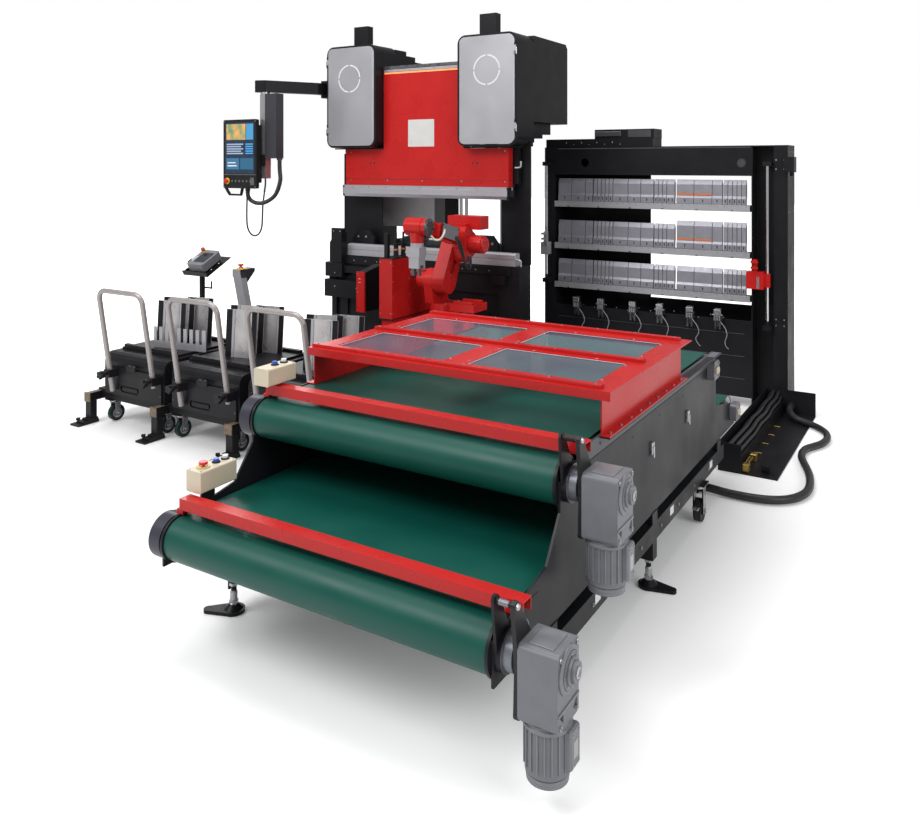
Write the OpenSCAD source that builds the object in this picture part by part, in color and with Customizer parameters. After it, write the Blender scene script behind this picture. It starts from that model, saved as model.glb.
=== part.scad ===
// Robotic press brake cell: an electric press brake, the bending robot in front of it, its tool changer,
// three tooling carts, two operator stands and a double-deck outfeed conveyor.
// X runs right along the bed, Y runs back, Z is up. The origin is on the floor under the middle of the
// bending line. Sizes are in millimetres.

/* [Press brake] */
// Length of the bending line
bed_length = 1350; // [1250:10:1600]
// Height of the lower beam
bed_top = 946; // [900:1:980]
// Height of the lower tool holder
die_holder_h = 84; // [60:1:100]
// Height of the upper tool holder
punch_holder_h = 82; // [60:1:100]
// Height of the ram's lower edge with the ram up
ram_bottom = 1460; // [1440:1:1500]
// Travel of the ram
ram_stroke = 250; // [150:5:260]
// Thickness of the C-shaped side frames
side_frame_t = 60; // [40:1:70]
// Depth of the press from bending line to back
press_depth = 705; // [690:5:900]

/* [Servo housings] */
// Width of one housing
housing_w = 446; // [430:2:460]
// Height of a housing's underside
housing_bottom = 1730; // [1725:1:1760]
// Height of a housing
housing_h = 740; // [700:5:800]
// Reach of the housings in front of the bending line
housing_reach = 88; // [80:1:120]
// Corner radius of the housings and doors
housing_r = 60; // [40:1:80]
// Width of the black rim round a door
rim_w = 14; // [10:1:20]
// Height of the screw covers above the housings
screw_cover_h = 145; // [80:5:200]
// Radius of the ball screws
screw_r = 25; // [18:1:30]

/* [Operator pendant] */
// Width of the pendant's screen case
pendant_w = 330; // [280:5:400]
// Height of the pendant's screen case
pendant_h = 495; // [440:5:560]
// Thickness of the pendant's screen case
pendant_t = 60; // [40:1:80]

/* [Robot] */
// Height of the pedestal under the robot
pedestal_h = 600; // [500:5:620]
// Radius of the turret
turret_r = 100; // [85:1:105]
// Radius of the shoulder joint
shoulder_r = 78; // [70:1:80]
// Radius of the elbow joint
elbow_r = 66; // [60:1:70]
// Radius of the wrist joint
wrist_r = 54; // [48:1:58]
// Downward slope of the forearm from wrist to elbow
forearm_tilt = 14.6; // [10:0.1:18]
// Side of the square gripper body
gripper_w = 70; // [60:1:80]
// Opening travel of one gripper jaw
jaw_travel = 12; // [4:1:12]

/* [Tool changer] */
// Width of the tool changer
changer_w = 1735; // [1720:5:1900]
// Height of the tool changer
changer_h = 1737; // [1700:1:1800]
// Depth of the tool changer
changer_depth = 240; // [220:5:320]
// Number of tool rails
rail_count = 3; // [2:1:3]
// Height between two tool rails
rail_pitch = 300; // [280:1:310]
// Height of a tool rail's face
rail_h = 44; // [36:1:50]
// Radius of the shuttle guide rods
guide_r = 9; // [6:1:12]

/* [Carts] */
// Number of tooling carts
cart_count = 3; // [1:1:3]
// Distance from one cart to the next
cart_pitch = 616; // [600:1:640]
// Width of a cart's body
cart_w = 500; // [460:5:520]
// Length of a cart's body
cart_l = 620; // [560:5:700]
// Height of a cart's top
cart_top = 444; // [430:1:480]
// Radius of the casters' wheels
caster_r = 50; // [40:1:55]
// Radius of the push handles' tube
handle_r = 15; // [11:1:17]

/* [Conveyor] */
// Width of the belts
belt_w = 1208; // [1100:2:1240]
// Thickness of the belts
belt_t = 4; // [2:0.5:6]
// Radius of the rollers
roller_r = 68; // [60:1:72]
// Height of the upper belt's roller axes
upper_axis_z = 664; // [650:1:680]
// Height of the lower belt's roller axes
lower_axis_z = 366; // [350:1:375]
// Height of the base frame's tubes
base_tube_h = 68; // [50:1:80]
// Height of the red guard bars
guard_bar = 37; // [30:1:38]
// Height of the hood above the upper belt
hood_h = 150; // [130:1:200]
// Length of the hood
hood_l = 870; // [800:10:950]

/* [Fits] */
// Running clearance between moving pieces
gap = 0.5; // [0.4:0.1:0.8]
// Thickness of the sheet-metal covers
sheet = 6; // [4:1:8]

/* [Hidden] */
$fn = 48;

// press brake
half = bed_length / 2;
press_x = half + 112;
frame_x = press_x - sheet;
inner_x = frame_x - side_frame_t;
ram_x = half + 5;
slot_x = press_x - housing_w - 1;
housing_top = housing_bottom + housing_h;
housing_front = -housing_reach;
shell_back = 160;
screw_x = inner_x - 201;
screw_y = 53;
nut_r = 45;
shoulder_z = housing_bottom - 10;
nut_top = shoulder_z + ram_stroke + 10;
gate_y = 112;
gauge_z = bed_top + 14;
gauge_y = 300;
die_top = bed_top + die_holder_h;
hinge_y = housing_front - 5.5;
hinge_zs = [housing_bottom + 90, housing_bottom + housing_h - 150];

// operator pendant
arm_pivot = [-press_x - 80, 10];
arm_elbow = [-press_x - 95, -100];
arm_end = [-1063, -440];
arm_z = 2129;
arm_h = 84;
post_w = 54;
post_bottom = 1509;
screen_y = -540;
screen_x = -1382;
screen_top = 1933;

// robot
turret_xy = [447, -400];
shoulder_yz = [-440, 880];
elbow_yz = [-330, 1110];
wrist_yz = [-725, 1240];
arm_x = [412, 500];
elbow_x = [arm_x[1] + gap, 590];
forearm_x = 546;
hub_x = [382, 499];
ear_x = [hub_x[1] + gap, 530];
roll_y = 300;
tool_x = 447;
base_casting_h = 100;
turret_z = pedestal_h + base_casting_h + gap;

// tool changer
changer_x = 527;
changer_y = 874;
changer_right = changer_x + changer_w;
rail_x = [620, changer_right - 236];
rail_z = 695;
guide_x = [560, changer_right - 120];
guide_y = 860;

// carts
cart_x = -1265;
cart_y = -1550;
cart_deck = 190;
handle_z = 855;
handle_x = 43;
handle_w = 392;
handle_lean = 9;
leg_y = 50;

// conveyor
belt_x = [1008, 1008 + belt_w];
frame_left = belt_x[0] - 44;
frame_right = belt_x[1] + 23;
upper_y = [-2552, -948];
lower_y = [-2956, -526];
wrap_r = roller_r + belt_t;
upper_belt_z = upper_axis_z + wrap_r;
lower_belt_z = lower_axis_z + wrap_r;
bearing_x = belt_x[1] + 38;
shaft_end = bearing_x + 162;
hood_y = [-2313, -2313 + hood_l];
hood_x = [belt_x[0] + 20, belt_x[1] + 31];
hood_top = upper_belt_z + hood_h;
lower_box = [990, -2918, 507];
lower_box_size = [70, 161, 73];
upper_box = [992, -2606, 796];
upper_box_size = [74, 146, 64];
lower_box_top = lower_box[2] + lower_box_size[2];
upper_box_top = upper_box[2] + upper_box_size[2];

// Cord routes: points chosen along the way each cord lies
HOSE = [[-940, -425, 1640], [-940, -425, 1605], [-938, -425, 1565], [-932, -428, 1490], [-960, -446, 1395],
    [-1020, -480, 1342], [-1085, -500, 1334], [-1140, -504, 1352], [-1162, -510, 1380], [-1165, -512, 1400], [-1165, -512, 1410],
    [-1165, -512, 1420]];
LEAD = [[-1144, -540, 1420], [-1144, -540, 1400], [-1144, -540, 1370], [-1145, -541, 1300],
    [-1145, -541, 1220], [-1141, -537, 1160], [-1127, -522, 1116], [-1107, -500, 1100], [-1087, -478, 1116],
    [-1075, -465, 1160], [-1072, -461, 1230], [-1071, -457, 1320], [-1066, -445, 1420], [-1063, -440, 1470],
    [-1063, -440, 1490], [-1063, -440, post_bottom]];
TRUNK = [[2290, 836, 60], [2290, 810, 60], [2291, 780, 58], [2300, 735, 50], [2322, 690, 40], [2358, 655, 32],
    [2405, 630, 28], [2455, 600, 25], [2505, 552, 23], [2542, 490, 22], [2560, 410, 22], [2560, 335, 22],
    [2545, 265, 22], [2515, 200, 22], [2488, 140, 22], [2479, 75, 22], [2484, 0, 22], [2505, -80, 22],
    [2535, -170, 22], [2562, -260, 22], [2582, -360, 22], [2592, -464, 22], [2584, -550, 22], [2552, -628, 22],
    [2500, -684, 22], [2436, -716, 22], [2370, -728, 22], [2300, -730, 22], [2250, -730, 24], [2205, -730, 28],
    [2180, -730, 30], [2154, -730, 30]];

// ---------- helpers ----------

// Box from its low corner to its high corner
module block(lo, hi) {
    translate(lo) cube(hi - lo);
}

// Cylinders from a point along each axis
module rod_x(p, r, l) {
    translate(p) rotate([0, 90, 0]) cylinder(r = r, h = l);
}

module rod_y(p, r, l) {
    translate(p) rotate([-90, 0, 0]) cylinder(r = r, h = l);
}

module rod_z(p, r, l) {
    translate(p) cylinder(r = r, h = l);
}

// Outlines in YZ, XZ and XY drawn out between two places
module sweep_x(x0, x1) {
    translate([x0, 0, 0]) rotate([90, 0, 90]) linear_extrude(x1 - x0) children();
}

module sweep_y(y0, y1) {
    translate([0, y1, 0]) rotate([90, 0, 0]) linear_extrude(y1 - y0) children();
}

module sweep_z(z0, z1) {
    translate([0, 0, z0]) linear_extrude(z1 - z0) children();
}

// Rectangle with round corners
module round_rect(lo, hi, r) {
    translate([lo[0] + r, lo[1]]) square([hi[0] - lo[0] - 2 * r, hi[1] - lo[1]]);
    translate([lo[0], lo[1] + r]) square([hi[0] - lo[0], hi[1] - lo[1] - 2 * r]);
    for (x = [lo[0] + r, hi[0] - r], y = [lo[1] + r, hi[1] - r]) translate([x, y]) circle(r);
}

// The same piece on the left and on the right of the press
module both_sides() {
    children();
    mirror([1, 0, 0]) children();
}

// Outline of a link: two round ends and the straight web between them
module link(a, ra, b, rb) {
    d = b - a;
    n = [-d[1], d[0]] / norm(d);
    translate(a) circle(ra);
    translate(b) circle(rb);
    polygon([a + n * ra, a - n * ra, b - n * rb, b + n * rb]);
}

// Threaded foot with its swivel plate
module levelling_foot(x, y, top, turn) {
    translate([x, y, 0]) {
        rod_z([0, 0, 12], 10, top - 12);
        translate([0, 0, 12]) cylinder(r1 = 34, r2 = 12, h = 22);
        rotate([0, 0, turn]) linear_extrude(12) link([0, 0], 40, [-90, 0], 18);
    }
}

// Swivel caster with its fork, wheel at the floor, plate at the given height
module caster(x, y, top) {
    translate([x, y, 0]) {
        block([-38, -38, top - 6], [38, 38, top]);
        rod_z([0, 0, top - 22], 24, 16);
        for (s = [-1, 1]) block([s * 21 - 3, -6, caster_r - 14], [s * 21 + 3, 34, top - 22]);
        block([-24, -6, top - 26], [24, 34, top - 22]);
        rod_x([-26, 18, caster_r], 6, 52);
        rod_x([-16, 18, caster_r], caster_r, 32);
    }
}

// Tube swept along a route, with a ring at each point of the smoothed path
function route_at(p, i) = p[max(0, min(len(p) - 1, i))];
function smooth(p, i, t) = let (a = route_at(p, i - 1), b = route_at(p, i), c = route_at(p, i + 1),
    d = route_at(p, i + 2)) 0.5 * (2 * b + (c - a) * t + (2 * a - 5 * b + 4 * c - d) * t * t
    + (3 * b - a - 3 * c + d) * t * t * t);
function path_of(p, n) = [for (i = [0 : len(p) - 2], k = [0 : n - 1]) smooth(p, i, k / n), p[len(p) - 1]];
function unit(v) = v / norm(v);
function heading(q, i) = unit(q[min(len(q) - 1, i + 1)] - q[max(0, i - 1)]);

module tube(points, r, steps, sides = 8, up = [0.13, 0.07, 1]) {
    q = path_of(points, steps);
    rings = [for (i = [0 : len(q) - 1]) let (h = heading(q, i), u = unit(cross(up, h)), w = cross(h, u))
        for (k = [0 : sides - 1]) q[i] + r * (cos(360 * k / sides) * u + sin(360 * k / sides) * w)];
    last = (len(q) - 1) * sides;
    skin = [for (i = [0 : len(q) - 2], k = [0 : sides - 1]) let (a = i * sides + k,
        b = i * sides + (k + 1) % sides) each [[a, a + sides, b], [b, a + sides, b + sides]]];
    caps = [[for (k = [0 : sides - 1]) k], [for (k = [sides - 1 : -1 : 0]) last + k]];
    polyhedron(rings, concat(skin, caps));
}

// ---------- press brake ----------

module press_frame() color("#1b1b1f") {
    // left side frame, full depth, lightened behind the throat
    difference() {
        sweep_x(-frame_x, -inner_x)
            polygon([[-40, 0], [press_depth, 0], [press_depth, housing_top - 65],
                [-60, housing_top - 65], [-60, housing_bottom + 70], [gate_y, housing_bottom + 62],
                [gate_y + 8, housing_bottom - 40], [gate_y + 8, bed_top], [-40, bed_top]]);
        rod_x([-frame_x - 1, 590, 1200], 60, side_frame_t + 2);
    }
    // right side frame: the lower part steps in so that the tool changer's shuttle can pass
    block([inner_x, -40, 0], [frame_x, gate_y + 8, bed_top]);
    sweep_x(inner_x, frame_x)
        polygon([[press_depth, housing_bottom + 167], [press_depth, housing_top - 65], [-60, housing_top - 65],
            [-60, housing_bottom + 70], [gate_y, housing_bottom + 62], [gate_y, housing_bottom - 60],
            [gate_y + 20, housing_bottom - 60], [gate_y + 20, housing_bottom], [shell_back, housing_bottom],
            [shell_back, housing_bottom + 167]]);
    sweep_z(0, housing_bottom - 0.3)
        polygon([[575, gate_y + 7], [inner_x + 20, gate_y + 7], [inner_x + 20, gate_y + 18], [inner_x, 160],
            [627, 300], [455, 300]]);
    both_sides() {
        // guide strip for the ram's edge
        block([ram_x + gap, 62, ram_bottom + 20], [inner_x, 98, shoulder_z]);
        // rail for the back gauge, on its shelf
        block([320, gate_y + 40, gauge_z - 30], [360, 640, gauge_z]);
    }
    block([-inner_x, -40, 0], [inner_x, 160, 30]);
    block([-inner_x, 160, 0], [360, press_depth, 30]);
    block([-inner_x, 470, 30], [360, press_depth, gauge_z - 30]);
    sweep_z(gauge_z - 60, gauge_z - 30)
        polygon([[-inner_x, gate_y + 8], [inner_x, gate_y + 8], [inner_x, 160], [513, 470], [-inner_x, 470]]);
    block([-inner_x, 580, housing_bottom + 167], [inner_x, press_depth, housing_bottom + 560]);
    // throat plates beside the see-through gap
    block([-press_x, gate_y, bed_top], [-428, gate_y + 8, housing_bottom - 40]);
    block([568, gate_y, bed_top], [press_x, gate_y + 8, housing_bottom - 40]);
    // hanging rear screen with its two slim uprights
    block([-inner_x, 440, 1130], [26, 448, housing_bottom + 70]);
    block([-inner_x, 440, housing_bottom + 70], [104, 580, housing_bottom + 76]);
    block([-inner_x, 572, housing_bottom + 70], [104, 582, housing_bottom + 180]);
    block([36, 440, 1130], [58, 452, housing_bottom + 70]);
    block([82, 440, 1130], [104, 452, housing_bottom + 70]);
    block([26, 440, 1130], [36, 448, 1150]);
    block([58, 440, 1130], [82, 448, 1150]);
}

module bed_beam() color("#202024") {
    top = bed_top;
    difference() {
        block([-inner_x, -40, 30], [inner_x, 70, top]);
        block([-inner_x + 90, -41, 60], [inner_x - 90, -26, top - 190]);
    }
    block([-inner_x, -52, top - 60], [inner_x, -40, top - 8]);
    // die clamping beam's chamfered end brackets, behind the lower tool holder
    for (x = [-645, 384]) sweep_y(38, 70)
        polygon([[x, top], [x, top + 120], [x + 46, top + 185], [x + 150, top + 185], [x + 194, top + 130],
            [x + 194, top]]);
    // stepped hydraulic blocks on the left end
    block([-757, -75, top - 50], [-654, -40, top + 196]);
    sweep_y(-100, -40)
        polygon([[-752, top - 50], [-752, top + 92], [-705, top + 162], [-692, top + 168],
            [-642, top + 168], [-642, top - 50]]);
    block([-795, -98, top - 157], [-640, -40, top - 53]);
    block([-640, -75, top - 125], [-361, -40, top - 75]);
    block([-798, -104, top - 304], [-344, -40, top - 178]);
    block([-inner_x - 43, -60, 60], [-inner_x, -40.5, top - 304]);
    block([-790, -60, top - 304], [-inner_x, -53, top - 50]);
    // feed duct that carries the left gripper cover
    block([-334, -297, 600], [-268, -40, 870]);
    sweep_x(-334, -268) polygon([[-297, 870], [-40, 870], [-40, 905], [-120, 905]]);
    // valve block on the right end
    block([600, -80, top - 120], [690, -40, top - 62]);
}

module die_holder() color("#c9c9cf") {
    sweep_x(-half + 36, half + 72)
        polygon([[-30, bed_top], [30, bed_top], [30, die_top - 10], [22, die_top], [-20, die_top],
            [-30, die_top - 12], [-30, die_top - 38], [-26, die_top - 40], [-26, die_top - 46],
            [-30, die_top - 48]]);
}

module housing_shell() {
    lo = [press_x - housing_w, housing_bottom];
    hi = [press_x, housing_top];
    in = [sheet, sheet];
    rim = [rim_w, rim_w];
    difference() {
        sweep_y(housing_front, shell_back) round_rect(lo, hi, housing_r);
        sweep_y(housing_front + 12, shell_back + 1) round_rect(lo + in, hi - in, housing_r - sheet);
        sweep_y(housing_front - 1, housing_front + 13) round_rect(lo + rim, hi - rim, housing_r - rim_w);
        // the side frame and the ram's nut pass through the bottom
        block([inner_x - 1, gate_y - 20, housing_bottom - 1], [frame_x + 0.01, shell_back + 1, housing_bottom + 71]);
        block([screw_x - 60, screw_y - 60, housing_bottom - 1], [screw_x + 60, screw_y + 60, housing_bottom + 7]);
    }
}

module hinge_fixed(z) {
    x = press_x - 8;
    difference() {
        union() {
            rod_z([x, hinge_y, z], 5, 20);
            rod_z([x, hinge_y, z + 60], 5, 20);
            block([x, hinge_y, z], [x + 5, housing_front, z + 20]);
            block([x, hinge_y, z + 60], [x + 5, housing_front, z + 80]);
        }
        rod_z([x, hinge_y, z - 1], 2.2, 82);
    }
    rod_z([x, hinge_y, z], 2.2, 80);
}

module servo_housings() color("#232327") {
    both_sides() {
        housing_shell();
        for (z = hinge_zs) hinge_fixed(z);
        // control cabinets step down behind the shell
        block([press_x - housing_w + 4, shell_back, housing_bottom + 30], [inner_x, 300, housing_top - 15]);
        block([press_x - housing_w + 12, 300, housing_bottom + 60], [inner_x, 430, housing_top - 45]);
        block([press_x - housing_w + 20, 430, housing_bottom + 90], [inner_x, 560, housing_top - 80]);
        // outer side panel with its top flange
        sweep_x(frame_x, press_x)
            polygon([[shell_back, housing_bottom + 167], [press_depth, housing_bottom + 167], [press_depth, housing_top - 30],
                [press_depth - 30, housing_top], [shell_back, housing_top]]);
        block([inner_x, shell_back, housing_top - 60], [frame_x, press_depth - 30, housing_top]);
        // square screw cover
        block([screw_x - 52, -12, housing_top], [screw_x + 74, 51, housing_top + screw_cover_h]);
    }
    // pendant bracket on the left housing
    block([-press_x - 45, -30, arm_z - 30], [-press_x, 50, arm_z + arm_h + 30]);
    block([-press_x - 112, -25, arm_z - 22], [-press_x - 45, 45, arm_z - gap]);
    block([-press_x - 112, -25, arm_z + arm_h + gap], [-press_x - 45, 45, arm_z + arm_h + 22]);
    rod_z([arm_pivot[0], arm_pivot[1], arm_z - 1], 12, arm_h + 2);
}

module door(x0, x1) {
    z0 = housing_bottom + rim_w + 1;
    z1 = housing_top - rim_w - 1;
    r = housing_r - rim_w - 1;
    bulge = 10;
    intersection() {
        sweep_y(housing_front - bulge, housing_front + 8) round_rect([x0, z0], [x1, z1], r);
        sweep_z(z0, z1) union() {
            translate([x0 + bulge, housing_front - bulge]) square([x1 - x0 - 2 * bulge, 2 * bulge]);
            translate([x0, housing_front]) square([x1 - x0, 8]);
            for (x = [x0 + bulge, x1 - bulge]) translate([x, housing_front]) circle(bulge);
        }
    }
}

module hinged_door() {
    x = press_x - 8;
    difference() {
        union() {
            door(press_x - housing_w + rim_w + 1, press_x - rim_w - 1);
            for (z = hinge_zs) {
                rod_z([x, hinge_y, z + 20 + gap], 5, 40 - 2 * gap);
                block([x - 20, hinge_y - 5, z + 20 + gap], [x, hinge_y - 2.6, z + 60 - gap]);
            }
        }
        for (z = hinge_zs) rod_z([x, hinge_y, z], 2.5, 80);
    }
}

module housing_door_left() color("#b9b9c2") mirror([1, 0, 0]) hinged_door();

module housing_door_right() color("#b9b9c2") hinged_door();

module ram_drives() color("#8d9096") both_sides() {
    top = housing_top - 40;
    block([screw_x - 85, screw_y - 85, top - 230], [screw_x + 85, screw_y + 85, top]);
    rod_z([screw_x, screw_y, top - 320], 60, 90);
    block([screw_x - 95, screw_y - 90, top - 380], [inner_x, screw_y + 90, top - 320]);
    rod_z([screw_x, screw_y, ram_bottom + 20], screw_r, top - 380 - ram_bottom - 20);
}

module ram_beam() color("#55565c") difference() {
    union() {
        block([-ram_x + sheet, sheet, ram_bottom], [ram_x - sheet, 100, shoulder_z]);
        both_sides() block([ram_x - sheet, 62, ram_bottom], [ram_x, 98, shoulder_z]);
        block([-slot_x + 10, sheet, shoulder_z], [slot_x - 10, 100, housing_bottom + 561]);
        block([-slot_x + 5, -6, housing_bottom + 561], [slot_x - 5, 100, housing_bottom + 582]);
        both_sides() rod_z([screw_x, screw_y, shoulder_z], nut_r, nut_top - shoulder_z);
    }
    both_sides() rod_z([screw_x, screw_y, ram_bottom + 10], screw_r + gap, nut_top);
}

module ram_cover() color("#d8202a") {
    seam = ram_bottom + 45;
    difference() {
        union() {
            block([-ram_x, 0, seam], [ram_x, sheet, shoulder_z]);
            block([-slot_x + 5, 0, shoulder_z], [slot_x - 5, sheet, housing_bottom + 561]);
            both_sides() block([ram_x - sheet, sheet, seam], [ram_x, 60, shoulder_z]);
        }
        // pairs of lifting-eye holes
        for (x = [-447, -413, 413, 447]) rod_y([x, -1, 1617], 8, sheet + 2);
    }
    block([-ram_x, 0, ram_bottom + 1], [ram_x, sheet, seam - 3]);
    both_sides() block([ram_x - sheet, sheet, ram_bottom + 1], [ram_x, 60, seam - 3]);
}

module punch_holder() color("#cfcfd4") {
    x = half + 8;
    z = ram_bottom;
    b = ram_bottom - punch_holder_h;
    sweep_x(-x, x)
        polygon([[-22, z], [60, z], [60, z - 30], [24, z - 34], [24, b + 18], [12, b], [-12, b],
            [-27, b + 22], [-27, z - 22], [-22, z - 18]]);
}

module gauge_beam() color("#2a2a2e") {
    block([-440, gauge_y, gauge_z + 30], [440, gauge_y + 80, gauge_z + 90]);
    both_sides() difference() {
        block([295, gauge_y - 10, gauge_z - 24], [385, gauge_y + 90, gauge_z + 30]);
        block([320 - gap, gauge_y - 11, gauge_z - 25], [360 + gap, gauge_y + 91, gauge_z + gap]);
    }
    block([-430, gauge_y - 8, gauge_z + 50], [430, gauge_y, gauge_z + 70]);
}

module gauge_fingers() color("#8a8b90") {
    for (x = [-240, 190]) {
        difference() {
            block([x - 45, gauge_y - 40, gauge_z + 36], [x + 45, gauge_y + 80, gauge_z + 140]);
            block([x - 46, gauge_y - 8 - gap, gauge_z + 35], [x + 46, gauge_y + 81, gauge_z + 90 + gap]);
        }
        sweep_x(x - 16, x + 16)
            polygon([[gauge_y - 40, gauge_z + 90], [gauge_y - 40, gauge_z + 130], [150, gauge_z + 126],
                [100, gauge_z + 112], [100, gauge_z + 98], [150, gauge_z + 92]]);
    }
    // tie bar that keeps the two finger units at one distance
    block([-195, gauge_y + 20, gauge_z + 100], [145, gauge_y + 44, gauge_z + 124]);
}

// ---------- operator pendant ----------

module pendant_arm() color("#1d1d20") {
    difference() {
        sweep_z(arm_z, arm_z + arm_h) {
            link(arm_pivot, 30, arm_elbow, 30);
            link(arm_elbow, 30, arm_end, 34);
            link(arm_end, 34, arm_end + [-40, -16], 34);
        }
        rod_z([arm_pivot[0], arm_pivot[1], arm_z - 1], 12 + gap, arm_h + 2);
        rod_z([arm_end[0], arm_end[1], arm_z - 1], 14 + gap, arm_h - 20);
    }
}

module pendant_post() color("#a9a9ae") {
    x = arm_end[0];
    y = arm_end[1];
    w = post_w / 2;
    rod_z([x, y, arm_z - 10], 14, 40);
    rod_z([x, y, arm_z - 14], 32, 14 - gap);
    // extruded post with a slot down its front
    difference() {
        block([x - w, y - w, post_bottom], [x + w, y + w, arm_z - 14]);
        block([x - 6, y - w - 1, post_bottom - 1], [x + 6, y - w + 10, arm_z - 200]);
    }
    // cable duct beside the post
    difference() {
        block([x + 30, y - 36, 1653], [x + 137, y + 40, arm_z - 14 - gap]);
        block([x + 36, y - 30, 1652], [x + 131, y + 34, arm_z - 60]);
    }
    block([x + 36, y - 30, 1653], [x + 131, y + 34, 1663]);
    block([x + w, y - 20, 1700], [x + 30, y + 20, 2060]);
    rod_z([HOSE[0][0], HOSE[0][1], HOSE[0][2] + 0.3], 20, 13);
}

module pendant_screen() color("#151518") {
    x0 = screen_x;
    x1 = screen_x + pendant_w;
    y = screen_y;
    z1 = screen_top;
    z0 = screen_top - pendant_h;
    w = post_w / 2;
    sweep_y(y, y + 26) round_rect([x0, z0], [x1, z1], 12);
    sweep_y(y + 26, y + pendant_t) round_rect([x0 + 20, z0 + 40], [x1 - 8, z1 - 40], 10);
    // clamp that rides on the post
    difference() {
        block([x1 - 120, y + pendant_t, 1600], [arm_end[0] + 40, arm_end[1] + 40, 1680]);
        block([arm_end[0] - w - gap, arm_end[1] - w - gap, 1599],
            [arm_end[0] + w + gap, arm_end[1] + w + gap, 1681]);
        block([arm_end[0] + w, y, 1599], [arm_end[0] + 41, arm_end[1] + 41, 1681]);
        block([arm_end[0] - 120, arm_end[1] + w + 1, 1599], [arm_end[0] + 41, arm_end[1] + 41, 1681]);
    }
    // bent grab handle under the case
    sweep_y(y + 4, y + 22) difference() {
        polygon([[x0 + 2, z0 + 6], [x0 + 50, z0 - 54], [x0 + 170, z0 - 54], [x0 + 188, z0 + 6]]);
        polygon([[x0 + 18, z0 + 7], [x0 + 56, z0 - 40], [x0 + 162, z0 - 40], [x0 + 174, z0 + 7]]);
    }
    // glands of the hose and the lead
    rod_z(HOSE[11] + [0, 0, 0.3], 17, 62);
    rod_z(LEAD[0] + [0, 0, 0.3], 10, 30);
}

module pendant_hose() color("#111111") tube(HOSE, 15, 2, 10);

module pendant_lead() color("#111111") tube(LEAD, 6, 1, 8, [0.5, -0.45, 0.07]);

// ---------- operator stands ----------

module teach_stand() color("#232326") {
    // round pole on a foot plate
    block([-1620, -730, 0], [-1400, -520, 12]);
    rod_z([-1514, -620, 12], 20, 830);
    // tilted tray with its lip, side cheeks and the wedge under the pendant
    translate([-1492, -600, 868]) rotate([28, 0, 0]) {
        block([-125, -112, -6], [125, 132, 0]);
        block([-125, -118, -6], [125, -112, 30]);
        for (x = [-125, 119]) block([x, -112, 0], [x + 6, 40, 20]);
        block([-70, -80, 0], [70, 76, 20]);
        block([-101, -60, 0], [-95, -20, 74]);
        block([-95, -60, 0], [-70, -20, 6]);
    }
    block([-1540, -660, 812], [-1488, -590, 850]);
    // cable hook on the pole
    rod_x([-1496, -620, 716], 6, 84);
    rod_z([-1418, -620, 710], 6, 56);
}

module teach_pendant() color("#8c8d92") {
    translate([-1492, -600, 868]) rotate([28, 0, 0]) {
        difference() {
            sweep_z(20 + gap, 78) round_rect([-80, -96], [92, 92], 22);
            sweep_z(72, 79) round_rect([-42, -62], [72, 58], 6);
        }
        // emergency stop on its ring at the upper left corner
        rod_z([-56, 70, 78], 18, 6);
        rod_z([-56, 70, 84], 9, 10);
        rod_z([-56, 70, 94], 14, 13);
    }
}

stop_xy = [-1148, -596];
stop_z = 870;

module estop_stand() color("#8b8c90") {
    block([-1080, -700, 0], [-870, -500, 12]);
    sweep_y(-640, -588) polygon([[-1186, 850], [-1110, 850], [-1050, 618], [-906, 12], [-986, 12], [-1128, 618]]);
    // head that reaches back, with the button on top
    difference() {
        union() {
            sweep_x(-1186, -1110)
                polygon([[-640, 820], [-640, stop_z], [-497, stop_z], [-497, 846], [-588, 755], [-610, 790]]);
            rod_z([stop_xy[0], stop_xy[1], stop_z], 30, 5);
            rod_z([stop_xy[0], stop_xy[1], stop_z + 5], 15, 9);
        }
        rod_z([stop_xy[0], stop_xy[1], stop_z - 20], 8 + gap, 40);
    }
}

module estop_stand_button() color("#d01f26") difference() {
    union() {
        rod_z([stop_xy[0], stop_xy[1], stop_z - 10], 8, 34);
        rod_z([stop_xy[0], stop_xy[1], stop_z + 22], 19.2, 12);
    }
    rod_z([stop_xy[0], stop_xy[1], stop_z + 32], 3, 3);
}

// ---------- tooling carts ----------

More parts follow.
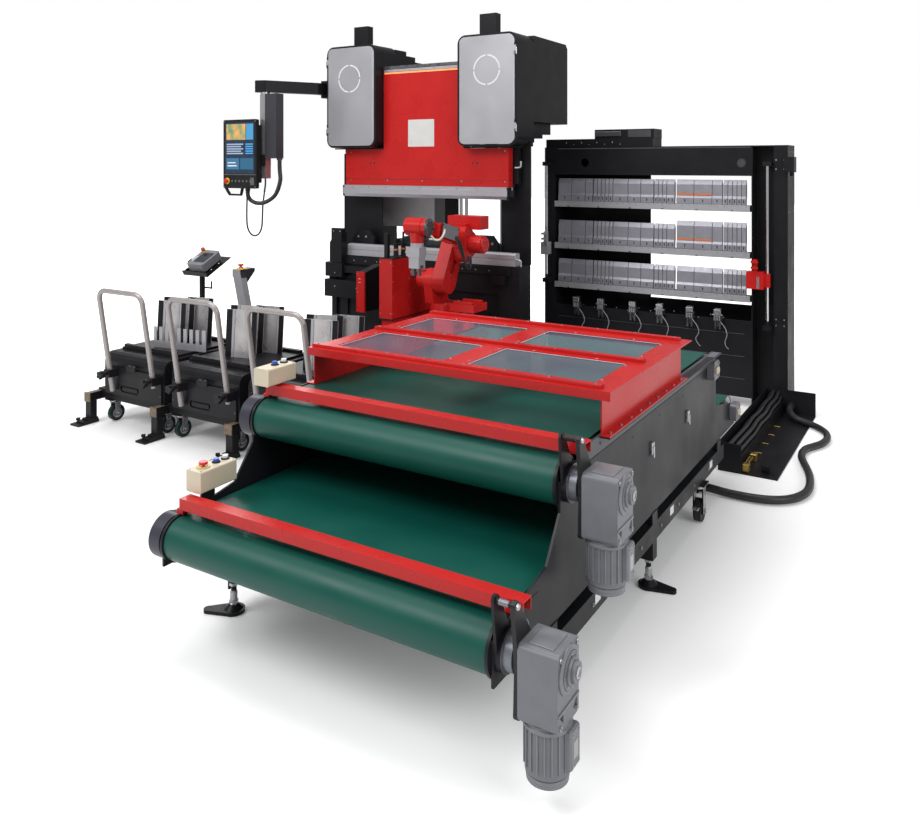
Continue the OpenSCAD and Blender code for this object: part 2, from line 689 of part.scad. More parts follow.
module cart_frame(i) {
    x = cart_x + i * cart_pitch;
    y = cart_y;
    w = cart_w;
    l = cart_l;
    z = cart_deck;
    // body: floor, side walls, rounded front and the top
    sweep_x(x - 75, x - 75 + w + 50)
        polygon([[y, z + 10], [y + l, z + 10], [y + l, cart_top], [y + 50, cart_top],
            [y + 25, cart_top - 7], [y + 7, cart_top - 25], [y, cart_top - 50]]);
    // drawer front with its oval pull
    difference() {
        sweep_y(y - 12, y - 0.01) round_rect([x - 60, z + 8], [x + w - 40, cart_top - 82], 8);
        sweep_y(y - 13, y - 4) round_rect([x + 90, z + 30], [x + 260, z + 72], 20);
    }
    sweep_y(y - 12, y - 3) round_rect([x + 104, z + 40], [x + 246, z + 62], 10);
    // underframe and outriggers
    for (bx = [x - 182, x + w - 66]) {
        block([bx, y - 60, z - 52], [bx + 42, y + l - 40, z - 2]);
        block([bx - 6, y - 66, z - 56], [bx + 48, y - 60, z + 2]);
        block([bx - 4, y - 58, 34], [bx + 46, y - 14, z - 52]);
        block([bx - 40, y - 140, 0], [bx + 44, y + 4, 10]);
        block([bx - 22, y - 108, 10], [bx + 48, y - 2, 22]);
        block([bx - 10, y - 78, 22], [bx + 50, y - 8, 34]);
    }
    for (cy = [y + 30, y + l - 130]) block([x - 182, cy, z - 48], [x + w - 24, cy + 60, z + 10]);
    for (cx = [x - 72, x + w - 96], cy = [y + 60, y + l - 100]) caster(cx, cy, z - 48);
    // table plates of the part rack
    block([x - 55, y + 110, cart_top], [x + w - 60, y + l - 40, cart_top + 14]);
    block([x - 40, y + 114, cart_top + 14], [x + w - 75, y + 142, cart_top + 32]);
    block([x - 40, y + l - 80, cart_top + 14], [x + w - 75, y + l - 52, cart_top + 32]);
    // handle clamps: bracket on the left leg, block on the right leg
    for (leg = [x + handle_x, x + handle_x + handle_w]) {
        difference() {
            block([leg - 26, y - 76, cart_top - 128], [leg + 26, y - 26, cart_top - 82]);
            tilted_leg(leg, handle_r + gap, 400);
        }
        difference() {
            rod_y([leg, y - 98, cart_top - 105], 9, 22);
            rod_y([leg, y - 99, cart_top - 105], 3, 4);
        }
        rod_y([leg, y - 114, cart_top - 105], 22, 16);
        block([leg - 26, y - 26, cart_top - 128], [leg + 26, y, cart_top - 82]);
    }
}

// Line of a handle leg: it leans toward the front as it rises
module tilted_leg(x, r, l) {
    translate([x, cart_y - leg_y, cart_top - 105]) rotate([handle_lean, 0, 0])
        translate([0, 0, -l / 2]) cylinder(r = r, h = l);
}

module cart_frames() color("#17171a") for (i = [0 : cart_count - 1]) cart_frame(i);

module cart_handle(i) {
    x = cart_x + i * cart_pitch + handle_x;
    w = handle_w;
    c = 60;
    up = (handle_z - cart_top + 105) / cos(handle_lean);
    translate([x, cart_y - leg_y, cart_top - 105]) rotate([handle_lean, 0, 0]) {
        rod_z([0, 0, -115], handle_r, 115 + up - c);
        rod_z([w, 0, -40], handle_r, 40 + up - c);
        rod_x([c, 0, up], handle_r, w - 2 * c);
        for (s = [0, 1]) translate([s * (w - c) + (1 - s) * c, 0, up - c]) rotate([90, 0, 0])
            rotate([0, 0, 90 * (1 - s)]) rotate_extrude(angle = 90) translate([c * (s == 0 ? 1 : 1), 0])
                circle(handle_r);
    }
}

module cart_handle_1() color("#8d8c88") cart_handle(0);

module cart_handle_2() color("#8d8c88") if (cart_count > 1) cart_handle(1);

module cart_handle_3() color("#8d8c88") if (cart_count > 2) cart_handle(2);

// Upright plate with stripes of equal width, standing on a cart's rack
module separator(p, w, turn, lean) {
    translate(p + [0, 0, 1.1]) rotate([0, 0, turn]) rotate([lean, 0, 0]) {
        block([-w / 2, 0, 0], [w / 2, 6, 284]);
        for (k = [-1, 1]) block([k * w / 4 - 8, -5, 0], [k * w / 4 + 8, 11, 284]);
    }
}

module part_separators() color("#b4b5ba") {
    deck = cart_top + 14.1;
    // comb plate with its row of slots, on the left cart
    difference() {
        translate([-1145, -1341, deck]) rotate([0, 0, 8.1]) difference() {
            block([0, 0, 0], [410, 5, 130]);
            for (k = [0 : 7]) block([22 + k * 48, -1, 42], [44 + k * 48, 6, 131]);
        }
    }
    for (i = [0 : cart_count - 1]) {
        x = cart_x + i * cart_pitch;
        separator([x + 200, cart_y + 270, deck], 210, 12, -4);
        separator([x + 120, cart_y + 390, deck], 230, 16, -6);
        separator([x + 245, cart_y + 455, deck], 200, 10, -5);
    }
}

// ---------- robot ----------

module robot_base() color("#c3202a") {
    x = turret_xy[0];
    y = turret_xy[1];
    block([x - 160, y - 160, 0], [x + 160, y + 160, 20]);
    // floor plate that ties the robot to the press
    block([x - 70, y + 160, 0], [x + 70, -40.3, 12]);
    block([x - 110, y - 110, 20], [x + 110, y + 110, pedestal_h - 20]);
    block([x - 130, y - 130, pedestal_h - 20], [x + 130, y + 130, pedestal_h]);
    sweep_z(pedestal_h, pedestal_h + 28) round_rect([x - 118, y - 118], [x + 118, y + 118], 24);
    translate([x, y, pedestal_h + 28])
        cylinder(r1 = turret_r + 8, r2 = turret_r, h = base_casting_h - 28);
    // connector block behind the base
    block([x - 50, y + 100, pedestal_h + 28], [x + 50, y + 140, pedestal_h + 88]);
}

module robot_turret() color("#d4212b") {
    x = turret_xy[0];
    y = turret_xy[1];
    s = shoulder_yz;
    rod_z([x, y, turret_z], turret_r, 44);
    difference() {
        sweep_x(x - 95, arm_x[0] - gap)
            union() {
                translate(s) circle(shoulder_r);
                polygon([[y - 90, turret_z + 44], [y + 90, turret_z + 44], [s[0] + shoulder_r, s[1]],
                    [s[0] - shoulder_r, s[1]]]);
            }
        block([x - 96, y - 40, turret_z + 70], [x - 74, y + 40, s[1] - 30]);
    }
    // shoulder motor on the left cheek
    rod_x([x - 155, s[0], s[1]], 52, 60);
    sweep_x(x - 173, x - 155) translate(s) circle(44);
}

module robot_lower_arm() color("#d4212b") {
    difference() {
        sweep_x(arm_x[0], arm_x[1])
            link(shoulder_yz, shoulder_r - 2, elbow_yz, elbow_r);
        // shallow web pocket
        sweep_x(arm_x[1] - 14, arm_x[1] + 1)
            link(shoulder_yz + [22, 70], 22, elbow_yz - [22, 70], 18);
    }
    sweep_x(arm_x[1], arm_x[1] + 2) translate(shoulder_yz) circle(52);
}

module robot_elbow() color("#d4212b") {
    y = elbow_yz[0];
    z = elbow_yz[1];
    difference() {
        sweep_x(elbow_x[0], elbow_x[1]) {
            link(elbow_yz, 80, [y - 30, z - 74], 40);
            link(elbow_yz, 80, [y - 34, z + 66], 52);
            link([y - 34, z + 66], 52, [y - 30, z - 74], 40);
        }
        sweep_x(elbow_x[0] - 1, elbow_x[0] + 18) link([y - 36, z + 70], 30, [y - 30, z + 40], 30);
    }
    // elbow motor with its round end cap
    rod_x([elbow_x[1], y, z], 55, 92);
    rod_x([elbow_x[1] + 92, y, z], 46, 12);
    // square wrist-motor box on top
    block([422, y - 10, z + 92], [662, y + 96, z + 176]);
    block([elbow_x[0] + 8, y - 60, z + 60], [elbow_x[1] - 8, y + 20, z + 130]);
    on_forearm() rod_y([forearm_x, roll_y + gap, 0], 43, 60);
}

// Frame of the forearm: x axis runs along it from the wrist to the elbow
module on_forearm() {
    translate([0, wrist_yz[0], wrist_yz[1]]) rotate([-forearm_tilt, 0, 0]) children();
}

module robot_forearm() color("#d4212b") {
    l = roll_y;
    on_forearm() {
        rod_y([forearm_x, 130, 0], 43, l - 130);
        difference() {
            sweep_x(elbow_x[0] + 2, elbow_x[1] - 20) polygon([[66, -34], [66, 34], [130, 48],
                [l - 10, 52], [l - 10, -52], [130, -48]]);
            block([elbow_x[0] + 1, 90, -20], [elbow_x[0] + 8, l - 30, 20]);
        }
        // bearing ear beside the wrist
        sweep_x(ear_x[0], ear_x[1]) link([0, 0], wrist_r - 4, [90, 0], 42);
        rod_x([ear_x[1], 0, 0], 40, 8);
        block([elbow_x[1] - 24, 60, -42], [elbow_x[1] - 18, l - 60, 42]);
    }
}

module robot_wrist() color("#d4212b") {
    y = wrist_yz[0];
    z = wrist_yz[1];
    rod_x([hub_x[0], y, z], wrist_r, hub_x[1] - hub_x[0]);
    translate([tool_x, y, z - 96]) cylinder(r1 = 38, r2 = 44, h = 60);
}

module robot_gripper() color("#b7b9bf") {
    y = wrist_yz[0];
    z = wrist_yz[1] - 96 - gap;
    w = gripper_w / 2;
    rod_z([tool_x, y, z - 24], 40, 24);
    block([tool_x - w - 6, y - w - 4, z - 84], [tool_x + w + 6, y + w + 4, z - 24]);
    difference() {
        block([tool_x - w, y - w, z - 150], [tool_x + w, y + w, z - 84]);
        // T-shaped way for the two jaws
        block([tool_x - w - 1, y - 13 - gap, z - 151], [tool_x + w + 1, y + 13 + gap, z - 136]);
        block([tool_x - w - 1, y - 19 - gap, z - 144], [tool_x + w + 1, y + 19 + gap, z - 133]);
    }
    // valve block with its two fittings
    block([tool_x - w - 28, y - 24, z - 80], [tool_x - w - 6, y + 24, z - 36]);
    for (d = [-12, 12]) rod_x([tool_x - w - 40, y + d, z - 58], 5, 12);
}

module jaw(s) {
    y = wrist_yz[0];
    z = wrist_yz[1] - 96 - gap;
    inner = 1 + jaw_travel;
    x0 = min(s * inner, s * (inner + 20));
    x1 = max(s * inner, s * (inner + 20));
    block([tool_x + x0, y - 18.5, z - 143.5], [tool_x + x1, y + 18.5, z - 134]);
    block([tool_x + x0, y - 13, z - 152], [tool_x + x1, y + 13, z - 143.5]);
    block([tool_x + x0, y - 13, z - 196], [tool_x + (s > 0 ? x0 + 10 : x1), y + 13, z - 152]);
    block([tool_x + (s > 0 ? x0 : x1 - 10), y - 13, z - 196], [tool_x + (s > 0 ? x0 + 10 : x1), y + 13, z - 152]);
}

module gripper_jaw_left() color("#77797f") jaw(-1);

module gripper_jaw_right() color("#77797f") jaw(1);

// ---------- gripper stand and regrip table ----------

module gripper_stand() color("#d8202a") {
    x0 = 101;
    x1 = 200;
    // folded red cover on a plain lower cabinet
    block([x0, -636, 640], [x1, -438, 1025]);
    block([x0, -438, 640], [x1, -164, 894]);
    block([x0 + 8, -620, 12], [x1 - 8, -180, 640]);
    block([x0 - 20, -640, 0], [286.7, -160, 12]);
    block([x0 + 12, -430, 894], [x1 - 12, -170, 912]);
    // tall square post and the two tapered gripper posts
    block([x0 + 20, -612, 1025], [x0 + 46, -586, 1178]);
    for (y = [-560, -480]) translate([x0 + 74, y, 1025]) {
        cylinder(r1 = 17, r2 = 14, h = 88);
        rod_z([0, 0, 88], 7, 70);
    }
    // second cover, left of the robot, on the front of the feed duct
    block([-337, -312, 597], [-268, -297.3, 873]);
}

module regrip_table() color("#d8202a") {
    rod_z([658, -480, 12], 30, 700);
    block([607.3, -560, 0], [745, -400, 12]);
    block([628, -520, 712], [688, -440, 724]);
    difference() {
        block([573, -560, 724], [743, -400, 770]);
        block([577, -556, 728], [739, -404, 771]);
    }
    // rest pads in the tray
    for (y = [-546, -438]) block([592, y, 728], [724, y + 22, 782]);
}

// ---------- tool changer ----------

// Height of a tool rail's underside; the middle rail sits a little lower than halfway
function rail_height(k) = rail_z + k * rail_pitch - (k == 1 ? 11 : 0);

module tool_changer_frame() color("#16161a") {
    x0 = changer_x;
    x1 = changer_right;
    y0 = changer_y;
    y1 = changer_y + changer_depth;
    top = changer_h;
    // back plate, closed on the left half only
    block([x0, y1 - 12, 30], [x0 + 745, y1, top]);
    block([x0 + 745, y1 - 12, 30], [x1 - 100, y1, 640]);
    block([x0 + 745, y1 - 12, top - 200], [x1 - 100, y1, top]);
    // uprights
    block([x0, y0, 0], [x0 + 84, y1, top]);
    block([x1 - 88, y0, 0], [x1, y1, top]);
    block([x1 - 220, y0 + 120, 0], [x1 - 88, y0 + 132, top]);
    block([x1 - 228, y0, 0], [x1 - 220, y1, top]);
    // header with its two round holes, closed top and the lower panel
    difference() {
        block([x0 + 84, y0, top - 203], [x1 - 228, y0 + 8, top]);
        for (x = [x0 + 325, x1 - 295]) rod_y([x, y0 - 1, top - 114], 31, 10);
    }
    block([x0 + 84, y0 + 8, top - 8], [x1 - 88, y1 - 12, top]);
    block([x0 + 84, y0, 60], [x1 - 228, y0 + 8, 570]);
    block([x0 + 84, y0 + 8, 60], [x1 - 228, y1 - 12, 68]);
    // tool rails with their shelves, joined to the uprights
    for (k = [0 : rail_count - 1]) {
        z = rail_height(k);
        block([rail_x[0] - 9, y0 - 6, z], [rail_x[1], y0 + 44, z + rail_h]);
        block([x0 + 84, y0 + 44, z], [x1 - 228, y1 - 90, z + 12]);
    }
    // boxes on the roof
    block([x0 + 2, y0 + 20, top], [x0 + 830, y1 - 20, top + 60]);
    block([x0 + 389, y0 + 30, top + 60], [x0 + 835, y1 - 30, top + 127]);
    // connector box on the right side
    block([x1 - 20, y0 - 30, 1560], [x1 + 42, y0 + 60, 1660]);
    rod_z([x1 + 22, y0 + 16, 1535], 12, 25);
    rod_y([TRUNK[0][0], TRUNK[0][1] + 0.3, TRUNK[0][2]], 27, y0 - 8.3 - TRUNK[0][1]);
    // shuttle guide rods with their end blocks
    for (x = guide_x) {
        z0 = x < 1000 ? 760 : 560;
        rod_z([x, guide_y - 24, z0], guide_r, 1620 - z0);
        for (z = [z0 - 30, 1600]) block([x - 26, guide_y - 42, z], [x + 26, x < 1000 ? y0 : y0 + 120, z + 30]);
    }
    // cable trough on the floor at the right
    tx = x1 - 132;
    block([tx, -380, 0], [tx + 300, y0, 6]);
    block([tx, -380, 6], [tx + 6, y0, 150]);
    block([tx, -380, 6], [tx + 120, -374, 150]);
    block([tx + 6, -374, 70], [tx + 110, y0, 76]);
    block([tx + 104, -374, 6], [tx + 110, y0, 70]);
    block([tx + 6, y0 - 8, 6], [tx + 300, y0, 150]);
    block([tx + 210, -320, 6], [tx + 250, -280, 40]);
}

module tool_blocks() color("#c4c5ca") {
    banks = [[636, [104, 104, 56, 26, 26, 26, 26, 26], [0, 108, 216, 280, 310, 340, 370, 400]],
        [1066, [110, 90, 90, 26, 26, 26, 26, 26], [0, 114, 208, 306, 336, 366, 396, 422]],
        [1530, [118, 120, 64, 26, 26, 26, 26, 26], [0, 122, 246, 320, 350, 380, 410, 440]]];
    // one bank of punches and dies per hundred-odd millimetres of rail
    for (k = [0 : rail_count - 1], bank = [0 : 2]) {
        z = rail_height(k) + rail_h;
        x = banks[bank][0];
        widths = banks[bank][1];
        starts = banks[bank][2];
        tall = bank == 2 && k == 1 ? 26 : 0;
        for (j = [0 : 7]) if (x + starts[j] + widths[j] < rail_x[1])
            translate([x + starts[j], changer_y + 4, z]) sweep_x(0, widths[j])
                polygon([[0, 0], [36, 0], [36, 40], [44, 58], [44, 134 + tall], [30, 167 + tall],
                    [22, 167 + tall], [8, 134 + tall], [8, 58], [0, 40]]);
    }
}

// Carriage on a guide rod, its body beside the rod, with the tool gripper's fingers
module shuttle(x, z, lo, hi, h, finger) {
    y = guide_y - 24;
    difference() {
        union() {
            block([x + lo, y - 44, z], [x + hi, y + 20, z + h]);
            block([x - 18, y - 18, z + 12], [x + 18, y + 18, z + h - 12]);
        }
        rod_z([x, y, z - 1], guide_r + gap, h + 2);
    }
    block([x + finger - 12, y - 44, z + h], [x + finger + 12, y - guide_r - 3, z + h + 80]);
    for (d = [20, 58]) block([x + finger - 22, y - 66, z + h + d], [x + finger + 22, y - 44, z + h + d + 14]);
}

module tool_shuttle_left() color("#b9bac0") shuttle(guide_x[0], 940, -28, 28, 90, 7);

module tool_shuttle_right() color("#cf232c") shuttle(guide_x[1], 798, -123, -16, 113, -70);

module spare_grippers() color("#55575d") {
    for (x = [800, 988, 1227, 1423, 1633, 1821]) {
        block([x - 26, changer_y - 44, 560], [x + 26, changer_y, 600]);
        block([x - 20, changer_y - 40, 600], [x + 20, changer_y - 8, 640]);
        for (s = [-1, 1]) block([x + s * 14 - 6, changer_y - 34, 505], [x + s * 14 + 6, changer_y - 12, 560]);
        rod_z([x, changer_y - 24, 520], 5, 40);
    }
}

module floor_hose() color("#101012") tube(TRUNK, 20, 2, 10);

// ---------- outfeed conveyor ----------

module conveyor_base() color("#1c1c20") {
    x0 = frame_left;
    x1 = frame_right;
    z0 = 180;
    z1 = z0 + base_tube_h;
    y0 = -2740;
    y1 = -700;
    post = 18;
    // four long tubes and three cross tubes
    for (x = [x0, x1 - 60]) block([x, y0, z0], [x + 60, y1, z1]);
    for (y = [y0, -1760, y1 - 60]) block([x0 + 60, y, z0], [x1 - 60, y + 60, z1]);
    // posts up to the side panels
    for (x = [x0 + 14, x1 - post], y = [y0 + 40, -1780, y1 - 120]) block([x, y, z1], [x + post, y + 60, 290]);
    // levelling feet in front, casters behind
    levelling_foot(x0 + 26, y0 + 37, z0, 33);
    block([x1 - 50, -1776, 110], [x1, -1728, z0 + 10]);
    levelling_foot(x1 - 25, -1752, 111, 180);
    caster(x1 - 20, -1077, z0);
    caster(x0 + 40, -1090, z0);
    block([x0 - 8, -2700, 70], [x0, -2640, z0 + 20]);
    // plug-in leg of the floor hose
    block([2080, -760, 3], [2130, -700, z0 + 10]);
    rod_x([2130, -730, 30], 27, 23.7);
}

module side_panel(x0, x1, lip) {
    // lower skirt, long panel and the stepped ends that hold the rollers
    difference() {
        sweep_x(x0, x1)
            polygon([[lower_y[0] - 60, 290], [lower_y[1] + 60, 290], [lower_y[1] + 60, 392],
                [upper_y[1] + 110, 470], [upper_y[1] + 110, upper_belt_z - 54], [upper_y[0] - 60, upper_belt_z - 54],
                [upper_y[0] - 60, 590], [upper_y[0] - 150, 470], [lower_y[0] - 60, 410]]);
        for (a = [[upper_y[0], upper_axis_z], [upper_y[1], upper_axis_z], [lower_y[0], lower_axis_z],
            [lower_y[1], lower_axis_z]]) rod_x([x0 - 1, a[0], a[1]], 16 + gap, x1 - x0 + 2);
    }
    sweep_x(x0, x1) polygon([[upper_y[0] + 90, upper_belt_z - 55], [upper_y[1] + 60, upper_belt_z - 55],
        [upper_y[1] + 60, upper_belt_z + lip], [upper_y[0] + 90, upper_belt_z + lip]]);
}

module conveyor_panels() color("#232328") {
    side_panel(belt_x[0] - 20, belt_x[0] - 12, 0.7);
    side_panel(belt_x[1] + 12, belt_x[1] + 20, -2.3);
    // ledge that carries the hood's right foot
    block([belt_x[1] + 20, hood_y[0], upper_belt_z - 7], [hood_x[1] + 28, upper_y[1] + 60, upper_belt_z - 2.3]);
    // angle brackets of the two button boxes
    for (b = [[lower_box, 68, 128], [upper_box, 106, 136]]) {
        block([belt_x[0] - 28, b[0][1] + b[1], b[0][2] - 156], [belt_x[0] - 20, b[0][1] + b[2], b[0][2] - 0.3]);
        block([belt_x[0] - 28, b[0][1] + b[1], b[0][2] - 7], [b[0][0] + 40, b[0][1] + b[2], b[0][2] - 0.3]);
    }
    // black arms that reach over the guard bars' right ends
    for (d = [[upper_y[0], upper_axis_z], [lower_y[0], lower_axis_z]]) {
        difference() {
            sweep_x(belt_x[1] + 20, belt_x[1] + 28)
                polygon([[d[0] - 52, d[1] - 30], [d[0] + 10, d[1] - 50], [d[0] + 40, d[1] - 10], [d[0] + 20, d[1] + 40],
                    [d[0] - 46, d[1] + 158], [d[0] - 56, d[1] + 167], [d[0] - 70, d[1] + 167], [d[0] - 77, d[1] + 154]]);
            rod_x([belt_x[1] + 19, d[0], d[1]], 16 + gap, 12);
        }
        rod_x([belt_x[1] + 20, d[0] - 62, d[1] + 152], 8, bearing_x + 36.7 - belt_x[1] - 20);
    }
    // slider beds under the belts and the cross ties
    for (d = [[upper_y, upper_belt_z], [lower_y, lower_belt_z]]) {
        block([belt_x[0] - 12, d[0][0] + 110, d[1] - belt_t - 12], [belt_x[1] + 12, d[0][1] - 110, d[1] - belt_t - 4]);
        for (y = [d[0][0] + 220, d[0][1] - 260])
            block([belt_x[0] - 12, y, d[1] - 86], [belt_x[1] + 12, y + 40, d[1] - belt_t - 12]);
    }
    // black bearing uprights, guard discs, flange bearings and end covers
    for (d = [[upper_y[0], upper_axis_z], [lower_y[0], lower_axis_z]]) {
        y = d[0];
        z = d[1];
        for (s = [-1, 1]) {
            difference() {
                rod_x([s > 0 ? belt_x[1] + 2 : belt_x[0] - 11, y, z], wrap_r + 6, 9);
                rod_x([s > 0 ? belt_x[1] + 1 : belt_x[0] - 12, y, z], 16 + gap, 12);
            }
        }
        difference() {
            union() {
                sweep_x(belt_x[1] + 20, bearing_x) link([y, z], 58, [y + 60, z + 4], 46);
                sweep_x(bearing_x, bearing_x + 26) link([y, z], 50, [y + 8, z], 44);
            }
            rod_x([belt_x[1], y, z], 16 + gap, 90);
        }
        difference() {
            union() {
                rod_x([belt_x[0] - 72, y, z], 74, 52);
                sweep_x(belt_x[0] - 72, belt_x[0] - 20)
                    polygon([[y, z - 73], [y + 150, z - 54], [y + 166, z - 30], [y + 166, z + 20], [y + 150, z + 46],
                        [y, z + 73]]);
            }
            rod_x([belt_x[0] - 50, y, z], 16 + gap, 40);
        }
    }
    for (d = [[upper_y[1], upper_axis_z], [lower_y[1], lower_axis_z]])
        for (x = [belt_x[0] - 52, belt_x[1] + 20]) difference() {
            sweep_x(x, x + 32) round_rect([d[0] - 46, d[1] - 42], [d[0] + 46, d[1] + 42], 16);
            rod_x([x - 1, d[0], d[1]], 16 + gap, 34);
        }
    // flap under the hood's front edge
    block([frame_right - 14, -2345, 560], [frame_right - 6, -2300, 690]);
}

module belt(y, z) {
    difference() {
        sweep_x(belt_x[0], belt_x[1]) link([y[0], z], wrap_r, [y[1], z], wrap_r);
        sweep_x(belt_x[0] - 1, belt_x[1] + 1) link([y[0], z], roller_r + 0.3, [y[1], z], roller_r + 0.3);
    }
}

module belts() color("#1f8a55") {
    belt(upper_y, upper_axis_z);
    belt(lower_y, lower_axis_z);
}

module roller(y, z, x0, x1) {
    rod_x([belt_x[0] + 2, y, z], roller_r, belt_w - 4);
    rod_x([x0, y, z], 16, x1 - x0);
}

module upper_drive_roller() color("#9a9ca2") roller(upper_y[0], upper_axis_z, belt_x[0] - 48, shaft_end);

module upper_tail_roller() color("#9a9ca2") roller(upper_y[1], upper_axis_z, belt_x[0] - 56, belt_x[1] + 56);

module lower_drive_roller() color("#9a9ca2") roller(lower_y[0], lower_axis_z, belt_x[0] - 48, shaft_end);

module lower_tail_roller() color("#9a9ca2") roller(lower_y[1], lower_axis_z, belt_x[0] - 56, belt_x[1] + 56);

// Shaft-mounted gearbox with its hanging motor and torque plate
module gear_motor(y, z) {
    x = bearing_x + 49;
    difference() {
        union() {
            sweep_x(x, x + 110) round_rect([y - 62, z - 135], [y + 66, z + 58], 16);
            rod_x([x + 110, y, z], 46, 10);
            rod_x([x + 120, y, z], 26, 16);
            // torque plate
            sweep_x(x - 12, x) {
                link([y - 6, z], 52, [y - 62, z + 152], 14);
                link([y, z], 58, [y - 46, z - 122], 16);
            }
        }
        rod_x([x - 20, y, z], 16 + gap, 140);
    }
    translate([x + 50, y + 8, z - 135]) rotate([180, 0, 0]) {
        cylinder(r = 61, h = 14);
        rod_z([0, 0, 14], 58, 117);
        rod_z([0, 0, 131], 54, 24);
    }
    block([x + 100, y - 8, z - 245], [x + 120, y + 40, z - 150]);
}

module gear_motors() color("#85888d") {
    gear_motor(upper_y[0], upper_axis_z);
    gear_motor(lower_y[0], lower_axis_z);
}

module guard_bars() color("#cf232c") {
    g = guard_bar;
    for (d = [[upper_y[0] - 5, upper_belt_z + 16, upper_belt_z], [lower_y[0] - 4, lower_belt_z + 23, lower_belt_z]]) {
        y = d[0];
        z = d[1];
        // hollow bar with a dropped left end
        difference() {
            block([belt_x[0] - 4, y, z], [belt_x[1] + 74.6, y + 46, z + g]);
            block([belt_x[0] + 20, y + 3, z - 1], [belt_x[1] + 77, y + 43, z + g - 3]);
        }
        block([belt_x[0] - 20, y + 4, d[2] + 6.3], [belt_x[0] + 8, y + 42, z]);
    }
}

module hood() color("#d4212b") {
    x0 = hood_x[0];
    x1 = hood_x[1];
    y0 = hood_y[0];
    y1 = hood_y[1];
    t = 4;
    z0 = upper_belt_z + 1;
    // side walls with their outward feet, and the back wall above the belt
    for (x = [x0, x1 - t]) block([x, y0, z0], [x + t, y1, hood_top]);
    block([x0 - 38, y0, z0], [x0, y1, z0 + t]);
    block([x1, y0, z0 - 3], [x1 + 28, y1, z0 + t - 3]);
    // lid with four window openings and a bent front lip
    difference() {
        block([x0 - 6, y0 - 30, hood_top], [x1 + 40, y1 + 20, hood_top + t]);
        for (i = [0, 1], j = [0, 1]) {
            wx = x0 + 70 + i * 600;
            wy = y0 + 60 + j * 400;
            block([wx, wy, hood_top - 1], [wx + 500, wy + 310, hood_top + t + 1]);
        }
    }
    block([x0 - 6, y0 - 30, hood_top - 26], [x1 + 40, y0 - 30 + t, hood_top]);
    // angle strips across the lid
    for (y = [y0 - 10, y0 + 400, y1 - 30]) block([x0, y, hood_top + t], [x1, y + 30, hood_top + t + 12]);
}

module hood_windows() color("#b9b6d8") {
    for (i = [0, 1], j = [0, 1]) {
        wx = hood_x[0] + 58 + i * 600;
        wy = hood_y[0] + 48 + j * 400;
        block([wx, wy, hood_top - 4], [wx + 524, wy + 334, hood_top]);
    }
}

module button_hole(b, size, y) rod_z([b[0] + size[0] / 2, b[1] + y, b[2] + size[2] - 24], 5 + gap, 32);

module control_box(b, size, ys) {
    difference() {
        sweep_y(b[1], b[1] + size[1]) round_rect([b[0], b[2]], [b[0] + size[0], b[2] + size[2]], 6);
        for (y = ys) button_hole(b, size, y);
    }
}

module control_boxes() color("#c9c3b2") {
    control_box(lower_box, lower_box_size, [42, 100, 141]);
    difference() {
        rod_z([lower_box[0] + 35, lower_box[1] + 42, lower_box_top], 22, 4);
        button_hole(lower_box, lower_box_size, 42);
    }
    control_box(upper_box, upper_box_size, [72, 120]);
}

module push_button(b, size, y, r, reach = 5) {
    p = [b[0] + size[0] / 2, b[1] + y, b[2] + size[2]];
    rod_z([p[0], p[1], p[2] + reach], r, 9);
    rod_z([p[0], p[1], p[2] - 18], 5, 19 + reach);
}

module lower_stop_button() color("#d01f26") push_button(lower_box, lower_box_size, 42, 15, 12);

module lower_start_button() color("#2457c8") push_button(lower_box, lower_box_size, 100, 10);

module lower_aux_button() color("#e8e8ea") push_button(lower_box, lower_box_size, 141, 10);

module upper_start_button() color("#2457c8") push_button(upper_box, upper_box_size, 72, 10);

module upper_aux_button() color("#e8e8ea") push_button(upper_box, upper_box_size, 120, 10);

press_frame();
bed_beam();
die_holder();
servo_housings();
housing_door_left();
housing_door_right();
ram_drives();
ram_beam();
ram_cover();
punch_holder();
gauge_beam();
gauge_fingers();
pendant_arm();
pendant_post();
pendant_screen();
pendant_hose();
pendant_lead();
teach_stand();
teach_pendant();
estop_stand();
estop_stand_button();
cart_frames();
cart_handle_1();
cart_handle_2();
cart_handle_3();
part_separators();
robot_base();
robot_turret();
robot_lower_arm();
robot_elbow();
robot_forearm();
robot_wrist();
robot_gripper();
gripper_jaw_left();
gripper_jaw_right();
gripper_stand();
regrip_table();
tool_changer_frame();
tool_blocks();
tool_shuttle_left();
tool_shuttle_right();
spare_grippers();
floor_hose();
conveyor_base();
conveyor_panels();
belts();
upper_drive_roller();
upper_tail_roller();
lower_drive_roller();
lower_tail_roller();
gear_motors();
guard_bars();
hood();
hood_windows();
control_boxes();
lower_stop_button();
lower_start_button();
lower_aux_button();
upper_start_button();
upper_aux_button();
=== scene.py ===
# %% [markdown]
# # A robotic press brake cell
# The exact frame comes from the CAD model. This script gives every piece its finish and adds the
# small hardware that a machine builder would fit last: bolts, screens, casters, cables and trays.

# %% Load the frame
import math
import bmesh
import bpy
from mathutils import Matrix, Vector


